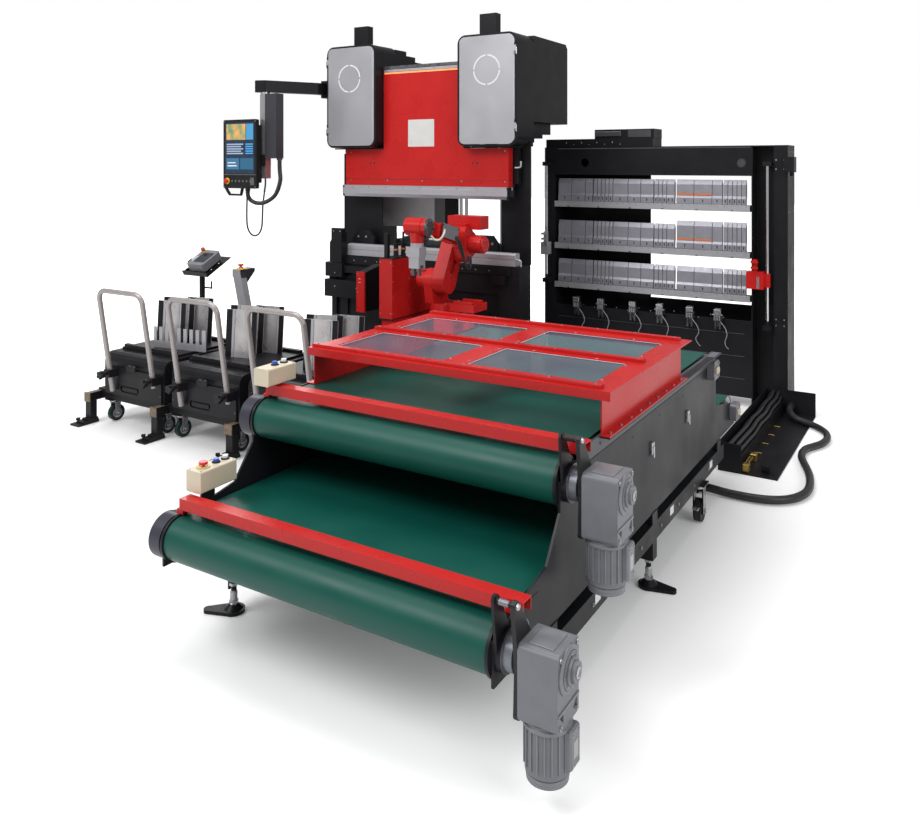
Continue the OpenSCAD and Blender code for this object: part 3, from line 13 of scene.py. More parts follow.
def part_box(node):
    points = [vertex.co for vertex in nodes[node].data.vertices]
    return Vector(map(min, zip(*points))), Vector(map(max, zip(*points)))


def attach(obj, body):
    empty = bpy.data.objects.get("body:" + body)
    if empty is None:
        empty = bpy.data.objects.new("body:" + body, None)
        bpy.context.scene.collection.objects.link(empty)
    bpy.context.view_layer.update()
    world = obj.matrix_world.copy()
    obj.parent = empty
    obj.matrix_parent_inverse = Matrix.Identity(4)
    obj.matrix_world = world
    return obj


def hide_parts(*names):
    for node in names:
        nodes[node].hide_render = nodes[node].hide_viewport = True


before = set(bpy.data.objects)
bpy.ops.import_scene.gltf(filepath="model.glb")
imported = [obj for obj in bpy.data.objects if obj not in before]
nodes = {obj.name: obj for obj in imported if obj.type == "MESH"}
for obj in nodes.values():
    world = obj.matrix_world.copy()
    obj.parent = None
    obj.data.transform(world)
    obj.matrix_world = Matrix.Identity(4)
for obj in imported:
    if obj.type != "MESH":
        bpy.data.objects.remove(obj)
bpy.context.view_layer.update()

# %% [markdown]
# ## The camera
# A level camera at eye height keeps the uprights upright, as an architect's shift lens does. The
# picture is slid down with shift_y instead of tilting the camera, so no vertical line leans.

# %% Camera
lens = bpy.data.cameras.new("eye_level_camera")
lens.lens, lens.sensor_width, lens.shift_y = 32.787, 36.0, -0.26952
lens.clip_start, lens.clip_end = 0.05, 100
camera = bpy.data.objects.new("eye_level_camera", lens)
camera.location = (3.260, -4.870, 1.620)
camera.rotation_euler = (math.radians(90), 0, math.atan2(0.5184, 0.8551))
bpy.context.collection.objects.link(camera)
bpy.context.scene.camera = camera
print("camera at", tuple(round(v, 2) for v in camera.location))

# %% [markdown]
# ## Finishes
# Every finish starts from one recipe: a shader whose colour, roughness and surface are moved a
# little by noise, because no painted or ground surface is perfectly even. The noise reads Object
# coordinates in metres, so its grain has a real size.

# %% Recipe for a finish
def new_finish(name):
    material = bpy.data.materials.new(name)
    material.use_nodes = True
    tree = material.node_tree
    shader = tree.nodes["Principled BSDF"]
    place = tree.nodes.new("ShaderNodeTexCoord").outputs["Object"]
    return material, tree, shader, place


def noise(tree, place, scale, detail=3.0, stretch=None):
    if stretch:
        turn = tree.nodes.new("ShaderNodeMapping")
        turn.inputs["Scale"].default_value = stretch
        tree.links.new(place, turn.inputs["Vector"])
        place = turn.outputs["Vector"]
    node = tree.nodes.new("ShaderNodeTexNoise")
    node.inputs["Scale"].default_value = scale
    node.inputs["Detail"].default_value = detail
    tree.links.new(place, node.inputs["Vector"])
    return node.outputs["Fac"]


def spread(tree, value, low, high):
    node = tree.nodes.new("ShaderNodeMapRange")
    node.inputs["From Min"].default_value, node.inputs["From Max"].default_value = 0.3, 0.7
    node.inputs["To Min"].default_value, node.inputs["To Max"].default_value = low, high
    tree.links.new(value, node.inputs["Value"])
    return node.outputs["Result"]


def feed(tree, value, socket):
    """Links a socket to another node's output, or sets it to a plain value."""
    if hasattr(value, "links"):
        tree.links.new(value, socket)
    else:
        socket.default_value = value


def blend_colour(tree, mask, first, second):
    node = tree.nodes.new("ShaderNodeMix")
    node.data_type = "RGBA"
    feed(tree, mask, node.inputs[0])
    for value, socket in ((first, node.inputs[6]), (second, node.inputs[7])):
        feed(tree, value if hasattr(value, "links") else (*value[:3], 1), socket)
    return node.outputs[2]


def blend_number(tree, mask, first, second):
    node = tree.nodes.new("ShaderNodeMix")
    for value, socket in ((mask, node.inputs[0]), (first, node.inputs[2]), (second, node.inputs[3])):
        feed(tree, value, socket)
    return node.outputs[0]


def shade(colour, factor):
    return tuple(min(1.0, c * factor) for c in colour)


print("recipe ready")

# %% [markdown]
# ## Painting areas of one node
# A welded frame is one CAD node, but its wheels are rubber and its rails bright. Instead of cutting
# the mesh, the finish asks, for each point of the surface, whether the point is inside a box.

# %% Masks by place
def worked_out(tree, kind, operation, *values):
    """The result of one Math or VectorMath node, fed with sockets or plain values."""
    node = tree.nodes.new("ShaderNode" + kind)
    node.operation = operation
    for value, socket in zip(values, node.inputs):
        feed(tree, value, socket)
    return node.outputs[0]


def box_mask(tree, place, low, high):
    """1 inside the box from low to high, in millimetres."""
    middle = [(a + b) / 2000 for a, b in zip(low, high)]
    half = [abs(b - a) / 2000 for a, b in zip(low, high)]
    away = worked_out(tree, "VectorMath", "SUBTRACT", place, middle)
    away = worked_out(tree, "VectorMath", "ABSOLUTE", away)
    past = worked_out(tree, "VectorMath", "SUBTRACT", away, half)
    parts = tree.nodes.new("ShaderNodeSeparateXYZ")
    tree.links.new(past, parts.inputs[0])
    furthest = worked_out(tree, "Math", "MAXIMUM", parts.outputs[0], parts.outputs[1])
    furthest = worked_out(tree, "Math", "MAXIMUM", furthest, parts.outputs[2])
    return worked_out(tree, "Math", "LESS_THAN", furthest, 0.0)


def coat_finish(name, colour, rough=0.45, metal=0.0, mottle=0.08, grain=35.0, bump=0.15, dents=900.0,
                areas=(), shine=0.5, stretch=None):
    """A painted, ground or moulded finish. areas = (low, high, colour, roughness, metallic) boxes."""
    material, tree, shader, place = new_finish(name)
    cloud = noise(tree, place, grain, 4.0, stretch)
    clouded = spread(tree, cloud, 0, 1)
    base = blend_colour(tree, clouded, shade(colour, 1 - mottle), shade(colour, 1 + mottle))
    roughness = spread(tree, cloud, max(0.03, rough - 0.06), min(1, rough + 0.07))
    metallic = metal
    for low, high, area_colour, area_rough, area_metal in areas:
        mask = box_mask(tree, place, low, high)
        tint = blend_colour(tree, clouded, shade(area_colour, 0.92), shade(area_colour, 1.06))
        base = blend_colour(tree, mask, base, tint)
        roughness = blend_number(tree, mask, roughness, area_rough)
        metallic = blend_number(tree, mask, metallic, area_metal)
    tree.links.new(base, shader.inputs["Base Color"])
    tree.links.new(roughness, shader.inputs["Roughness"])
    feed(tree, metallic, shader.inputs["Metallic"])
    shader.inputs["Specular IOR Level"].default_value = shine
    if bump:
        relief = tree.nodes.new("ShaderNodeBump")
        relief.inputs["Strength"].default_value = bump
        relief.inputs["Distance"].default_value = 0.0006
        tree.links.new(noise(tree, place, dents, 2.0, stretch), relief.inputs["Height"])
        tree.links.new(relief.outputs["Normal"], shader.inputs["Normal"])
    return material


def dress(material, *names):
    """Gives CAD nodes a finish in all their slots."""
    for name in names:
        mesh = nodes[name].data
        if not mesh.materials:
            mesh.materials.append(material)
        for i in range(len(mesh.materials)):
            mesh.materials[i] = material


print("masks and coats ready")

# %% [markdown]
# ## Cables and hoses
# A cable is a curve with a round section. It passes through the same points as its CAD solid, and a
# smooth line through them is found with the Catmull-Rom rule, so it has no corners.

# %% Cords
def smooth_line(points, steps=6):
    line = []
    ends = [points[0]] + list(points) + [points[-1]]
    for i in range(1, len(ends) - 2):
        a, b, c, d = (Vector(ends[i + k]) for k in (-1, 0, 1, 2))
        for s in range(steps):
            t = s / steps
            line.append(0.5 * (2 * b + (c - a) * t + (2 * a - 5 * b + 4 * c - d) * t * t
                               + (3 * b - a - 3 * c + d) * t ** 3) / 1000)
    line.append(Vector(points[-1]) / 1000)
    return line


def cable(name, points, radius, material, body, steps=6):
    """A round cable through points in millimetres."""
    line = smooth_line(points, steps)
    data = bpy.data.curves.new(name, "CURVE")
    data.dimensions = "3D"
    spline = data.splines.new("POLY")
    spline.points.add(len(line) - 1)
    for point, place in zip(spline.points, line):
        point.co = (*place, 1)
    data.bevel_depth, data.bevel_resolution, data.use_fill_caps = radius / 1000, 4, True
    data.materials.append(material)
    piece = bpy.data.objects.new(name, data)
    bpy.context.collection.objects.link(piece)
    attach(piece, body)
    return piece, sum((b - a).length for a, b in zip(line, line[1:]))


def hose_finish(name, colour, rough, rings):
    material, tree, shader, place = new_finish(name)
    cloud = noise(tree, place, 60.0)
    tree.links.new(blend_colour(tree, spread(tree, cloud, 0, 1), shade(colour, 0.8), shade(colour, 1.2)),
                   shader.inputs["Base Color"])
    tree.links.new(spread(tree, cloud, rough - 0.08, rough + 0.1), shader.inputs["Roughness"])
    relief = tree.nodes.new("ShaderNodeBump")
    relief.inputs["Strength"].default_value, relief.inputs["Distance"].default_value = 0.4, 0.0008
    tree.links.new(noise(tree, place, rings, 1.0), relief.inputs["Height"])
    tree.links.new(relief.outputs["Normal"], shader.inputs["Normal"])
    return material


rubber_hose = hose_finish("rubber_hose", (0.018, 0.018, 0.02), 0.42, 500.0)
HOSE = [(-940, -425, 1640), (-940, -425, 1605), (-938, -425, 1565), (-932, -428, 1490),
        (-960, -446, 1395), (-1020, -480, 1342), (-1085, -500, 1334), (-1140, -504, 1352),
        (-1162, -510, 1380), (-1165, -512, 1400), (-1165, -512, 1410), (-1165, -512, 1420)]
LEAD = [(-1144, -540, 1420), (-1144, -540, 1400), (-1144, -540, 1370), (-1145, -541, 1300),
        (-1145, -541, 1220), (-1141, -537, 1160), (-1127, -522, 1116), (-1107, -500, 1100),
        (-1087, -478, 1116), (-1075, -465, 1160), (-1072, -461, 1230), (-1071, -457, 1320),
        (-1066, -445, 1420), (-1063, -440, 1470), (-1063, -440, 1490), (-1063, -440, 1509)]
TRUNK = [(2290, 836, 60), (2290, 810, 60), (2291, 780, 58), (2300, 735, 50), (2322, 690, 40),
         (2358, 655, 32), (2405, 630, 28), (2455, 600, 25), (2505, 552, 23), (2542, 490, 22),
         (2560, 410, 22), (2560, 335, 22), (2545, 265, 22), (2515, 200, 22), (2488, 140, 22),
         (2479, 75, 22), (2484, 0, 22), (2505, -80, 22), (2535, -170, 22), (2562, -260, 22),
         (2582, -360, 22), (2592, -464, 22), (2584, -550, 22), (2552, -628, 22), (2500, -684, 22),
         (2436, -716, 22), (2370, -728, 22), (2300, -730, 22), (2250, -730, 24), (2205, -730, 28),
         (2180, -730, 30), (2154, -730, 30)]
for name, node, points, radius, body, lay, stiff in (
        ("pendant_hose_run", "pendant_hose", HOSE, 15, "pendant_head", "hanging", "medium"),
        ("pendant_lead_loop", "pendant_lead", LEAD, 6, "pendant_head", "hanging", "limp"),
        ("floor_hose_run", "floor_hose", TRUNK, 20, "cell", "loose", "medium")):
    run, length = cable(name, points, radius, rubber_hose, body)
    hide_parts(node)
    print(name, round(length, 3), "m long")

# %% [markdown]
# ## The main finishes
# Machine covers are powder coated: black with a fine orange-peel surface, and a bright red that is a
# little glossier. Ground steel is stretched noise, because a grinder leaves long fine lines.

# %% Paints and metals
BLACK, SILVER, STEEL = (0.011, 0.011, 0.013), (0.52, 0.52, 0.54), (0.42, 0.42, 0.43)
RED, GREEN, GREY = (0.50, 0.014, 0.013), (0.003, 0.075, 0.056), (0.165, 0.172, 0.19)
black_paint = coat_finish("black_powder_coat", BLACK, 0.36, grain=8, bump=0.10, dents=650, shine=0.18)
frame_paint_with_sheen = coat_finish("press_frame_coat_with_painted_sheen", BLACK, 0.36, grain=8, bump=0.08, dents=650, areas=[
    # painted sheen: the first box paints the rear panel near white, with no metal, to stand for its brushed
    # metal's bright sheen in the shade behind the ram
    ((-676, 439.5, 1129), (-184, 448.5, 1801), (0.85, 0.85, 0.88), 0.35, 0.0),
    ((-184, 439.5, 1129), (-90, 448.5, 1801), (0.22, 0.22, 0.23), 0.35, 0.0),
    ((35, 439, 1129), (59, 452.5, 1800.5), SILVER, 0.3, 0.9),
    ((81, 439, 1129), (105, 452.5, 1800.5), SILVER, 0.3, 0.9),
    ((300, 140, 929), (380, 650, 960.5), STEEL, 0.25, 0.95),
    ((-380, 140, 929), (-300, 650, 960.5), STEEL, 0.25, 0.95)], shine=0.18)
red_paint = coat_finish("signal_red_coat", RED, 0.28, grain=5, mottle=0.04, bump=0.05, dents=900, shine=0.28)
steel = coat_finish("ground_steel", (0.44, 0.435, 0.465), 0.34, 0.45, 0.05, 22, 0.02, 260, stretch=(1, 4, 7))
tool_steel = coat_finish("tool_steel", (0.30, 0.295, 0.335), 0.36, 0.35, 0.05, 22, 0.02, 260)
stand_red = coat_finish("stand_red", RED, 0.28, grain=5, mottle=0.04, bump=0.0, shine=0.28, areas=[
    ((95, -640, 1026), (215, -430, 1200), BLACK, 0.4, 0.0)])
dark_steel = coat_finish("oiled_steel", (0.16, 0.16, 0.17), 0.32, 0.85, 0.2, 40, 0.2, 500)
door_silver = coat_finish("door_silver", (0.47, 0.47, 0.50), 0.33, 0.6, 0.025, 3, 0.03, 900)
aluminium = coat_finish("extruded_aluminium", (0.50, 0.50, 0.52), 0.35, 0.7, 0.04, 20, 0.04, 300,
                        stretch=(9, 9, 1))
black_plastic = coat_finish("black_plastic", (0.012, 0.012, 0.013), 0.45, grain=30, bump=0.2, dents=1500,
                            shine=0.25)
grey_plastic = coat_finish("grey_plastic", (0.17, 0.17, 0.19), 0.5, grain=30, bump=0.35, dents=1500)
stand_grey = coat_finish("stand_grey", (0.25, 0.25, 0.27), 0.42, grain=12, bump=0.2, dents=700, areas=[
    ((-1195, -700, -1), (-850, -480, 13), BLACK, 0.4, 0),
    ((-1196, -638, 600), (-1100, -480, 871), (0.03, 0.03, 0.032), 0.4, 0),
    ((-1184, -632, 869), (-1112, -560, 876), (0.75, 0.48, 0.02), 0.4, 0)])
motor_grey = coat_finish("motor_grey", GREY, 0.40, grain=25, mottle=0.05, bump=0.2, dents=420, areas=[
    ((2250, -3200, 0), (2303.3, -2500, 900), BLACK, 0.42, 0)], shine=0.35)
belt_green = coat_finish("belt_green", GREEN, 0.42, grain=5, mottle=0.05, bump=0.12, dents=1100, shine=0.3)
box_cream = coat_finish("control_box_cream", (0.60, 0.53, 0.40), 0.38, grain=20, mottle=0.04, bump=0.15)
stop_red = coat_finish("button_red", (0.62, 0.012, 0.010), 0.25, grain=30, mottle=0.03, bump=0.0)
blue_cap = coat_finish("button_blue", (0.02, 0.08, 0.50), 0.25, grain=30, mottle=0.03, bump=0.0)
white_cap = coat_finish("button_white", (0.75, 0.75, 0.74), 0.3, grain=30, mottle=0.03, bump=0.0)
handle_paint = coat_finish("handle_grey", (0.36, 0.33, 0.325), 0.33, 0.35, 0.05, 20, 0.12, 800)
panel_paint = coat_finish("conveyor_panel_coat", (0.013, 0.013, 0.016), 0.38, grain=4, mottle=0.06, bump=0.06,
                          dents=700, areas=[
    ((2225, -2462, 681), (2240, -880, 740), (0.085, 0.085, 0.095), 0.35, 0.3),
    ((2253.5, -3100, 300), (2281, -2400, 800), (0.20, 0.21, 0.24), 0.35, 0.4),
    ((950, -1000, 300), (990, -460, 800), (0.20, 0.20, 0.22), 0.38, 0.3),
    ((2236.5, -1000, 300), (2270, -460, 800), (0.17, 0.17, 0.19), 0.38, 0.3),
    ((930, -3040, 280), (987, -2380, 830), (0.045, 0.045, 0.062), 0.34, 0.0)], shine=0.22)
cart_paint = coat_finish("cart_black", BLACK, 0.38, grain=8, bump=0.10, dents=650, shine=0.2)
post_metal = coat_finish("post_aluminium", (0.52, 0.52, 0.54), 0.33, 0.85, 0.06, 20, 0.1, 300,
                         stretch=(9, 9, 1), areas=[
    ((-1034, -480, 1640), (-900, -390, 2200), (0.035, 0.036, 0.042), 0.4, 0)])
for material, names in (
        (black_paint, "bed_beam servo_housings tool_changer_frame pendant_arm teach_stand conveyor_base"),
        (frame_paint_with_sheen, "press_frame"), (cart_paint, "cart_frames"),
        (door_silver, "housing_door_left housing_door_right"),
        (steel, "die_holder punch_holder part_separators tool_shuttle_left robot_gripper"),
        (tool_steel, "tool_blocks"), (stand_red, "gripper_stand"),
        (dark_steel, "ram_drives ram_beam gauge_beam gauge_fingers gripper_jaw_left gripper_jaw_right "
                     "spare_grippers"),
        (red_paint, "ram_cover robot_base robot_turret robot_lower_arm robot_elbow robot_forearm robot_wrist "
                    "regrip_table tool_shuttle_right guard_bars hood"),
        (post_metal, "pendant_post"), (black_plastic, "pendant_screen"), (grey_plastic, "teach_pendant"),
        (stand_grey, "estop_stand"), (stop_red, "estop_stand_button lower_stop_button"),
        (handle_paint, "cart_handle_1 cart_handle_2 cart_handle_3"), (panel_paint, "conveyor_panels"),
        (belt_green, "belts"),
        (aluminium, "upper_drive_roller upper_tail_roller lower_drive_roller lower_tail_roller"),
        (motor_grey, "gear_motors"), (box_cream, "control_boxes"),
        (blue_cap, "lower_start_button upper_start_button"),
        (white_cap, "lower_aux_button upper_aux_button")):
    dress(material, *names.split())
print("CAD nodes dressed")

# %% [markdown]
# ## Clear acrylic
# The hood's windows are thin clear sheets. A low alpha with a faint violet tint shows the belt below,
# and the low roughness still mirrors the lamps.

# %% Window sheet
acrylic, tree, shader, place = new_finish("clear_acrylic")
shader.inputs["Base Color"].default_value = (0.52, 0.50, 0.66, 1)
shader.inputs["IOR"].default_value = 1.49
shader.inputs["Alpha"].default_value = 0.12
shader.inputs["Specular IOR Level"].default_value = 0.3
tree.links.new(spread(tree, noise(tree, place, 8.0), 0.03, 0.08), shader.inputs["Roughness"])
dress(acrylic, "hood_windows")

# %% [markdown]
# ## Making hardware
# Small parts come from four shop operations: a bar is a block with broken edges, a plate is an
# outline that is extruded, a turned part is a profile spun round an axis, and a screw is a turned
# head with a hexagon sunk in it. Each returns its faces inside one bmesh, so that a hundred screws
# are still one object.

# %% Shop operations
def finish_piece(name, shop, material, body):
    bmesh.ops.remove_doubles(shop, verts=shop.verts, dist=1e-6)
    bmesh.ops.recalc_face_normals(shop, faces=shop.faces)
    data = bpy.data.meshes.new(name)
    shop.to_mesh(data)
    shop.free()
    data.materials.append(material)
    piece = bpy.data.objects.new(name, data)
    bpy.context.collection.objects.link(piece)
    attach(piece, body)
    print(name, len(data.polygons), "faces")
    return piece


def join(shop, part):
    """Moves the faces of a part, made in its own bmesh, into the shop's bmesh, scaled to metres."""
    bmesh.ops.scale(part, vec=(0.001, 0.001, 0.001), verts=part.verts)
    data = bpy.data.meshes.new("work")
    part.to_mesh(data)
    part.free()
    shop.from_mesh(data)
    bpy.data.meshes.remove(data)


def bar(shop, low, high, edge=1.0, turn=None):
    """A block with broken edges, from its low to its high corner in millimetres."""
    part = bmesh.new()
    bmesh.ops.create_cube(part, size=1)
    bmesh.ops.scale(part, vec=[b - a for a, b in zip(low, high)], verts=part.verts)
    bmesh.ops.translate(part, vec=[(a + b) / 2 for a, b in zip(low, high)], verts=part.verts)
    edge = min(edge, 0.4 * min(abs(b - a) for a, b in zip(low, high)))
    bmesh.ops.bevel(part, geom=part.edges[:], offset=edge, affect="EDGES", segments=1, profile=0.5,
                    material=-1)
    if turn:
        bmesh.ops.transform(part, matrix=turn, verts=part.verts)
    join(shop, part)


def lifted_corners(result):
    """The new corners of an extrusion."""
    return [v for v in result["geom"] if isinstance(v, bmesh.types.BMVert)]


AXES = {"x": Matrix.Rotation(math.radians(90), 4, "Y"), "y": Matrix.Rotation(math.radians(-90), 4, "X"),
        "z": Matrix.Identity(4), "-x": Matrix.Rotation(math.radians(-90), 4, "Y"),
        "-y": Matrix.Rotation(math.radians(90), 4, "X"), "-z": Matrix.Rotation(math.radians(180), 4, "X")}


def turned(shop, place, axis, profile, steps=20, turn=None):
    """A turned part: profile = (radius, height) pairs, spun round an axis through place."""
    part = bmesh.new()
    line = [part.verts.new((r, 0, h)) for r, h in profile]
    edges = [part.edges.new(pair) for pair in zip(line, line[1:])]
    bmesh.ops.spin(part, geom=line + edges, cent=(0, 0, 0), axis=(0, 0, 1), dvec=(0, 0, 0), angle=math.tau,
                   steps=steps, use_merge=True, use_duplicate=False)
    bmesh.ops.remove_doubles(part, verts=part.verts, dist=1e-4)
    bmesh.ops.transform(part, matrix=Matrix.Translation(place) @ (turn or AXES[axis]), verts=part.verts)
    join(shop, part)


def drum(shop, place, axis, radius, height, edge=1.0, steps=24, turn=None):
    turned(shop, place, axis, [(0, 0), (radius - edge, 0), (radius, edge), (radius, height - edge),
                               (radius - edge, height), (0, height)], steps, turn)


def ring(shop, place, axis, outer, inner, height, edge=0.6, steps=32):
    turned(shop, place, axis, [(inner, 0), (outer - edge, 0), (outer, edge), (outer, height - edge),
                               (outer - edge, height), (inner, height), (inner, 0)], steps)


def screw(shop, place, axis, radius, height=None):
    """A socket head screw: a turned head with a hexagon sunk in it."""
    height = height or radius
    part = bmesh.new()
    bmesh.ops.create_circle(part, cap_ends=True, segments=12, radius=radius)
    top = bmesh.ops.extrude_face_region(part, geom=part.faces[:])
    lifted = lifted_corners(top)
    bmesh.ops.translate(part, vec=(0, 0, height), verts=lifted)
    cap = [f for f in part.faces if all(v in lifted for v in f.verts)]
    bmesh.ops.inset_region(part, faces=cap, thickness=radius * 0.45, depth=0)
    cap = [f for f in part.faces if len(f.verts) == 12 and f.calc_center_median().z > height * 0.9]
    sunk = bmesh.ops.extrude_face_region(part, geom=cap)
    bmesh.ops.delete(part, geom=cap, context="FACES_ONLY")
    bmesh.ops.translate(part, vec=(0, 0, -height * 0.6), verts=lifted_corners(sunk))
    bmesh.ops.transform(part, matrix=Matrix.Translation(place) @ AXES[axis], verts=part.verts)
    join(shop, part)


def plate(shop, outline, depth, turn, edge=0.0):
    """An outline in the XY plane, extruded along Z, then put in place with a matrix."""
    part = bmesh.new()
    corners = [part.verts.new((x, y, 0)) for x, y in outline]
    face = part.faces.new(corners)
    top = bmesh.ops.extrude_face_region(part, geom=[face])
    bmesh.ops.translate(part, vec=(0, 0, depth), verts=lifted_corners(top))
    if edge:
        bmesh.ops.bevel(part, geom=part.edges[:], offset=edge, affect="EDGES", segments=2, profile=0.5,
                        material=-1)
    bmesh.ops.transform(part, matrix=turn, verts=part.verts)
    join(shop, part)


def rounded(x0, y0, x1, y1, r, steps=6):
    """A rectangle's outline with rounded corners."""
    outline = []
    for cx, cy, start in ((x1 - r, y1 - r, 0), (x0 + r, y1 - r, 90), (x0 + r, y0 + r, 180),
                          (x1 - r, y0 + r, 270)):
        for s in range(steps + 1):
            a = math.radians(start + 90 * s / steps)
            outline.append((cx + r * math.cos(a), cy + r * math.sin(a)))
    return outline


# An upright outline: its x stays X and its y becomes Z; it is extruded towards -Y, the front.
def upright(y):
    return Matrix.Translation((0, y, 0)) @ Matrix.Rotation(math.radians(90), 4, "X")


zinc = coat_finish("zinc_plate", (0.48, 0.48, 0.50), 0.28, 0.8, 0.05, 90, 0.04, 800)
tyre = coat_finish("black_tyre", (0.014, 0.014, 0.015), 0.55, grain=60, bump=0.3, dents=700)
white_mark = coat_finish("white_mark", (0.72, 0.72, 0.72), 0.45, grain=30, mottle=0.03, bump=0.0)
orange = coat_finish("orange_mark", (0.62, 0.16, 0.04), 0.45, grain=30, mottle=0.05, bump=0.0)
yellow = coat_finish("button_ring_yellow", (0.75, 0.48, 0.02), 0.35, grain=30, mottle=0.03, bump=0.0)
print("shop ready")

# %% [markdown]
# ## The housing doors
# Each servo housing has a silver door set in a black rim. The panel is a rounded plate that sits
# inside the rim, and the light ring on it is four short arcs, spun only part of the way round.

# %% Doors
for side, body in (("left", "left_door"), ("right", "right_door")):
    low, high = [v * 1000 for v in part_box("housing_door_" + side)]
    middle, front = (low.x + high.x) / 2, low.y
    shop = bmesh.new()
    for start in (4, 94, 184, 274):   # four arcs of the light ring, spun 82 degrees each
        part = bmesh.new()
        corners = [part.verts.new((r, 0, h)) for r, h in ((91, 0), (91, 1.2), (101, 1.2), (101, 0))]
        loop = [part.edges.new((corners[i], corners[(i + 1) % 4])) for i in range(4)]
        bmesh.ops.spin(part, geom=corners + loop, cent=(0, 0, 0), axis=(0, 0, 1), dvec=(0, 0, 0),
                       angle=math.radians(82), steps=14, use_merge=False, use_duplicate=False)
        bmesh.ops.holes_fill(part, edges=part.edges[:], sides=4)
        bmesh.ops.transform(part, matrix=Matrix.Translation((middle, front, 2230)) @ AXES["-y"]
                            @ Matrix.Rotation(math.radians(start), 4, "Z"), verts=part.verts)
        join(shop, part)
    finish_piece(side + "_door_ring", shop, white_mark, body)
    shop = bmesh.new()
    x = high.x - 3 if side == "right" else low.x + 3
    for z in (high.z - 136, low.z + 78):
        bar(shop, (x - 9, front + 2, z), (x + 7, front + 11, z + 46), 2)
        for dz in (10, 36):
            screw(shop, (x - 1, front + 2, z + dz), "-y", 3.2, 2)
    finish_piece(side + "_door_hinge_leaves", shop, zinc, body)

# %% [markdown]
# ## The ram
# The red cover gets its row of small screws, the bright strip along its top edge and, under that,
# the warm work light, which is a strip with a little emission.

# %% Ram details
shop = bmesh.new()
bar(shop, (-328, -3, 2270), (328, 1, 2289), 1)
for x in range(-300, 301, 100):
    screw(shop, (x, -3, 2280), "-y", 4, 2.5)
finish_piece("ram_top_strip", shop, aluminium, "ram")
shop = bmesh.new()
for x, z in ((-628, 1495), (655, 1497), (-300, 1495), (0, 1495), (320, 1497), (-628, 1700), (655, 1700)):
    screw(shop, (x, 0, z), "-y", 5, 3)
finish_piece("ram_cover_screws", shop, zinc, "ram")
warm, tree, shader, place = new_finish("work_light")
shader.inputs["Emission Color"].default_value = (1.0, 0.28, 0.05, 1)
shader.inputs["Emission Strength"].default_value = 0.45
glow_colour = blend_colour(tree, noise(tree, place, 20.0), (0.8, 0.3, 0.12), (0.9, 0.42, 0.2))
tree.links.new(glow_colour, shader.inputs["Base Color"])
shop = bmesh.new()
bar(shop, (-326, -2.5, 2256), (326, 0.5, 2268), 1)
finish_piece("ram_work_light", shop, warm, "ram")
shop = bmesh.new()
plate(shop, rounded(-120, 1735, 98, 1925, 4), 1.2, upright(0))
card_white = coat_finish("card_white", (0.62, 0.62, 0.60), 0.5, grain=14, mottle=0.04, bump=0.05)
finish_piece("ram_blank_card", shop, card_white, "ram")
shop = bmesh.new()
for x in (-684, 684):
    bar(shop, (x - 7, -24, 1379), (x + 7, 22, 1459), 2)
bar(shop, (693, -18, 1395), (722, 8, 1440), 3)
finish_piece("punch_holder_ends", shop, black_paint, "ram")
shop = bmesh.new()
for i in range(9):
    screw(shop, (-600 + i * 150, -22, 1448), "-y", 5, 4)
finish_piece("punch_holder_screws", shop, zinc, "ram")

# %% [markdown]
# ## Bed and frame details
# The bed's front is a plain black plate with a row of small tapped holes and bright screws, and each
# tool holder ends in an elbow pipe, drawn as a short cable with a wide radius.

# %% Bed details
shop = bmesh.new()
for i in range(12):
    screw(shop, (-560 + i * 102, -52, 912), "-y", 4.5, 3)
for x, z in ((-735, 1120), (-675, 1120), (-735, 1000), (-675, 960), (-700, 820), (-700, 720), (-500, 720),
             (-420, 840)):
    screw(shop, (x, -75 if z > 900 else -104, z), "-y", 5, 3)
for x in (-590, -520, 470, 540):
    screw(shop, (x, 38, 1080), "-y", 8, 6)
finish_piece("bed_screws", shop, zinc, "cell")
for name, body, y, z in (("lower_elbow_pipe", "cell", -30, 990), ("upper_elbow_pipe", "ram", -30, 1590)):
    up = 1 if body == "ram" else -1      # the ram's pipe bends up, the bed's bends down
    bend = [(744, y, z), (768, y, z), (780, y, z + up * 3), (786, y, z + up * 10), (787, y, z + up * 42)]
    cable(name, bend, 6, steel, body)
shop = bmesh.new()
for x in (345, -781):     # dark strips that close the slits under the housings
    bar(shop, (x, -6, 1720.6), (x + 436, 5, 1729.4), 0.5)
finish_piece("housing_slit_strips", shop, black_paint, "cell")
shop = bmesh.new()
for x0, x1, z in ((-560, -420, 700), (-380, 60, 560), (120, 380, 560)):
    bar(shop, (x0, -44, z - 70), (x1, -39.5, z), 1.5)
finish_piece("bed_access_plates", shop, black_paint, "cell")

# %% [markdown]
# ## The pendant's screen
# The picture on a screen is light from behind, so its finish has emission. The picture itself is
# generic: soft coloured areas and rows, made from boxes and noise.

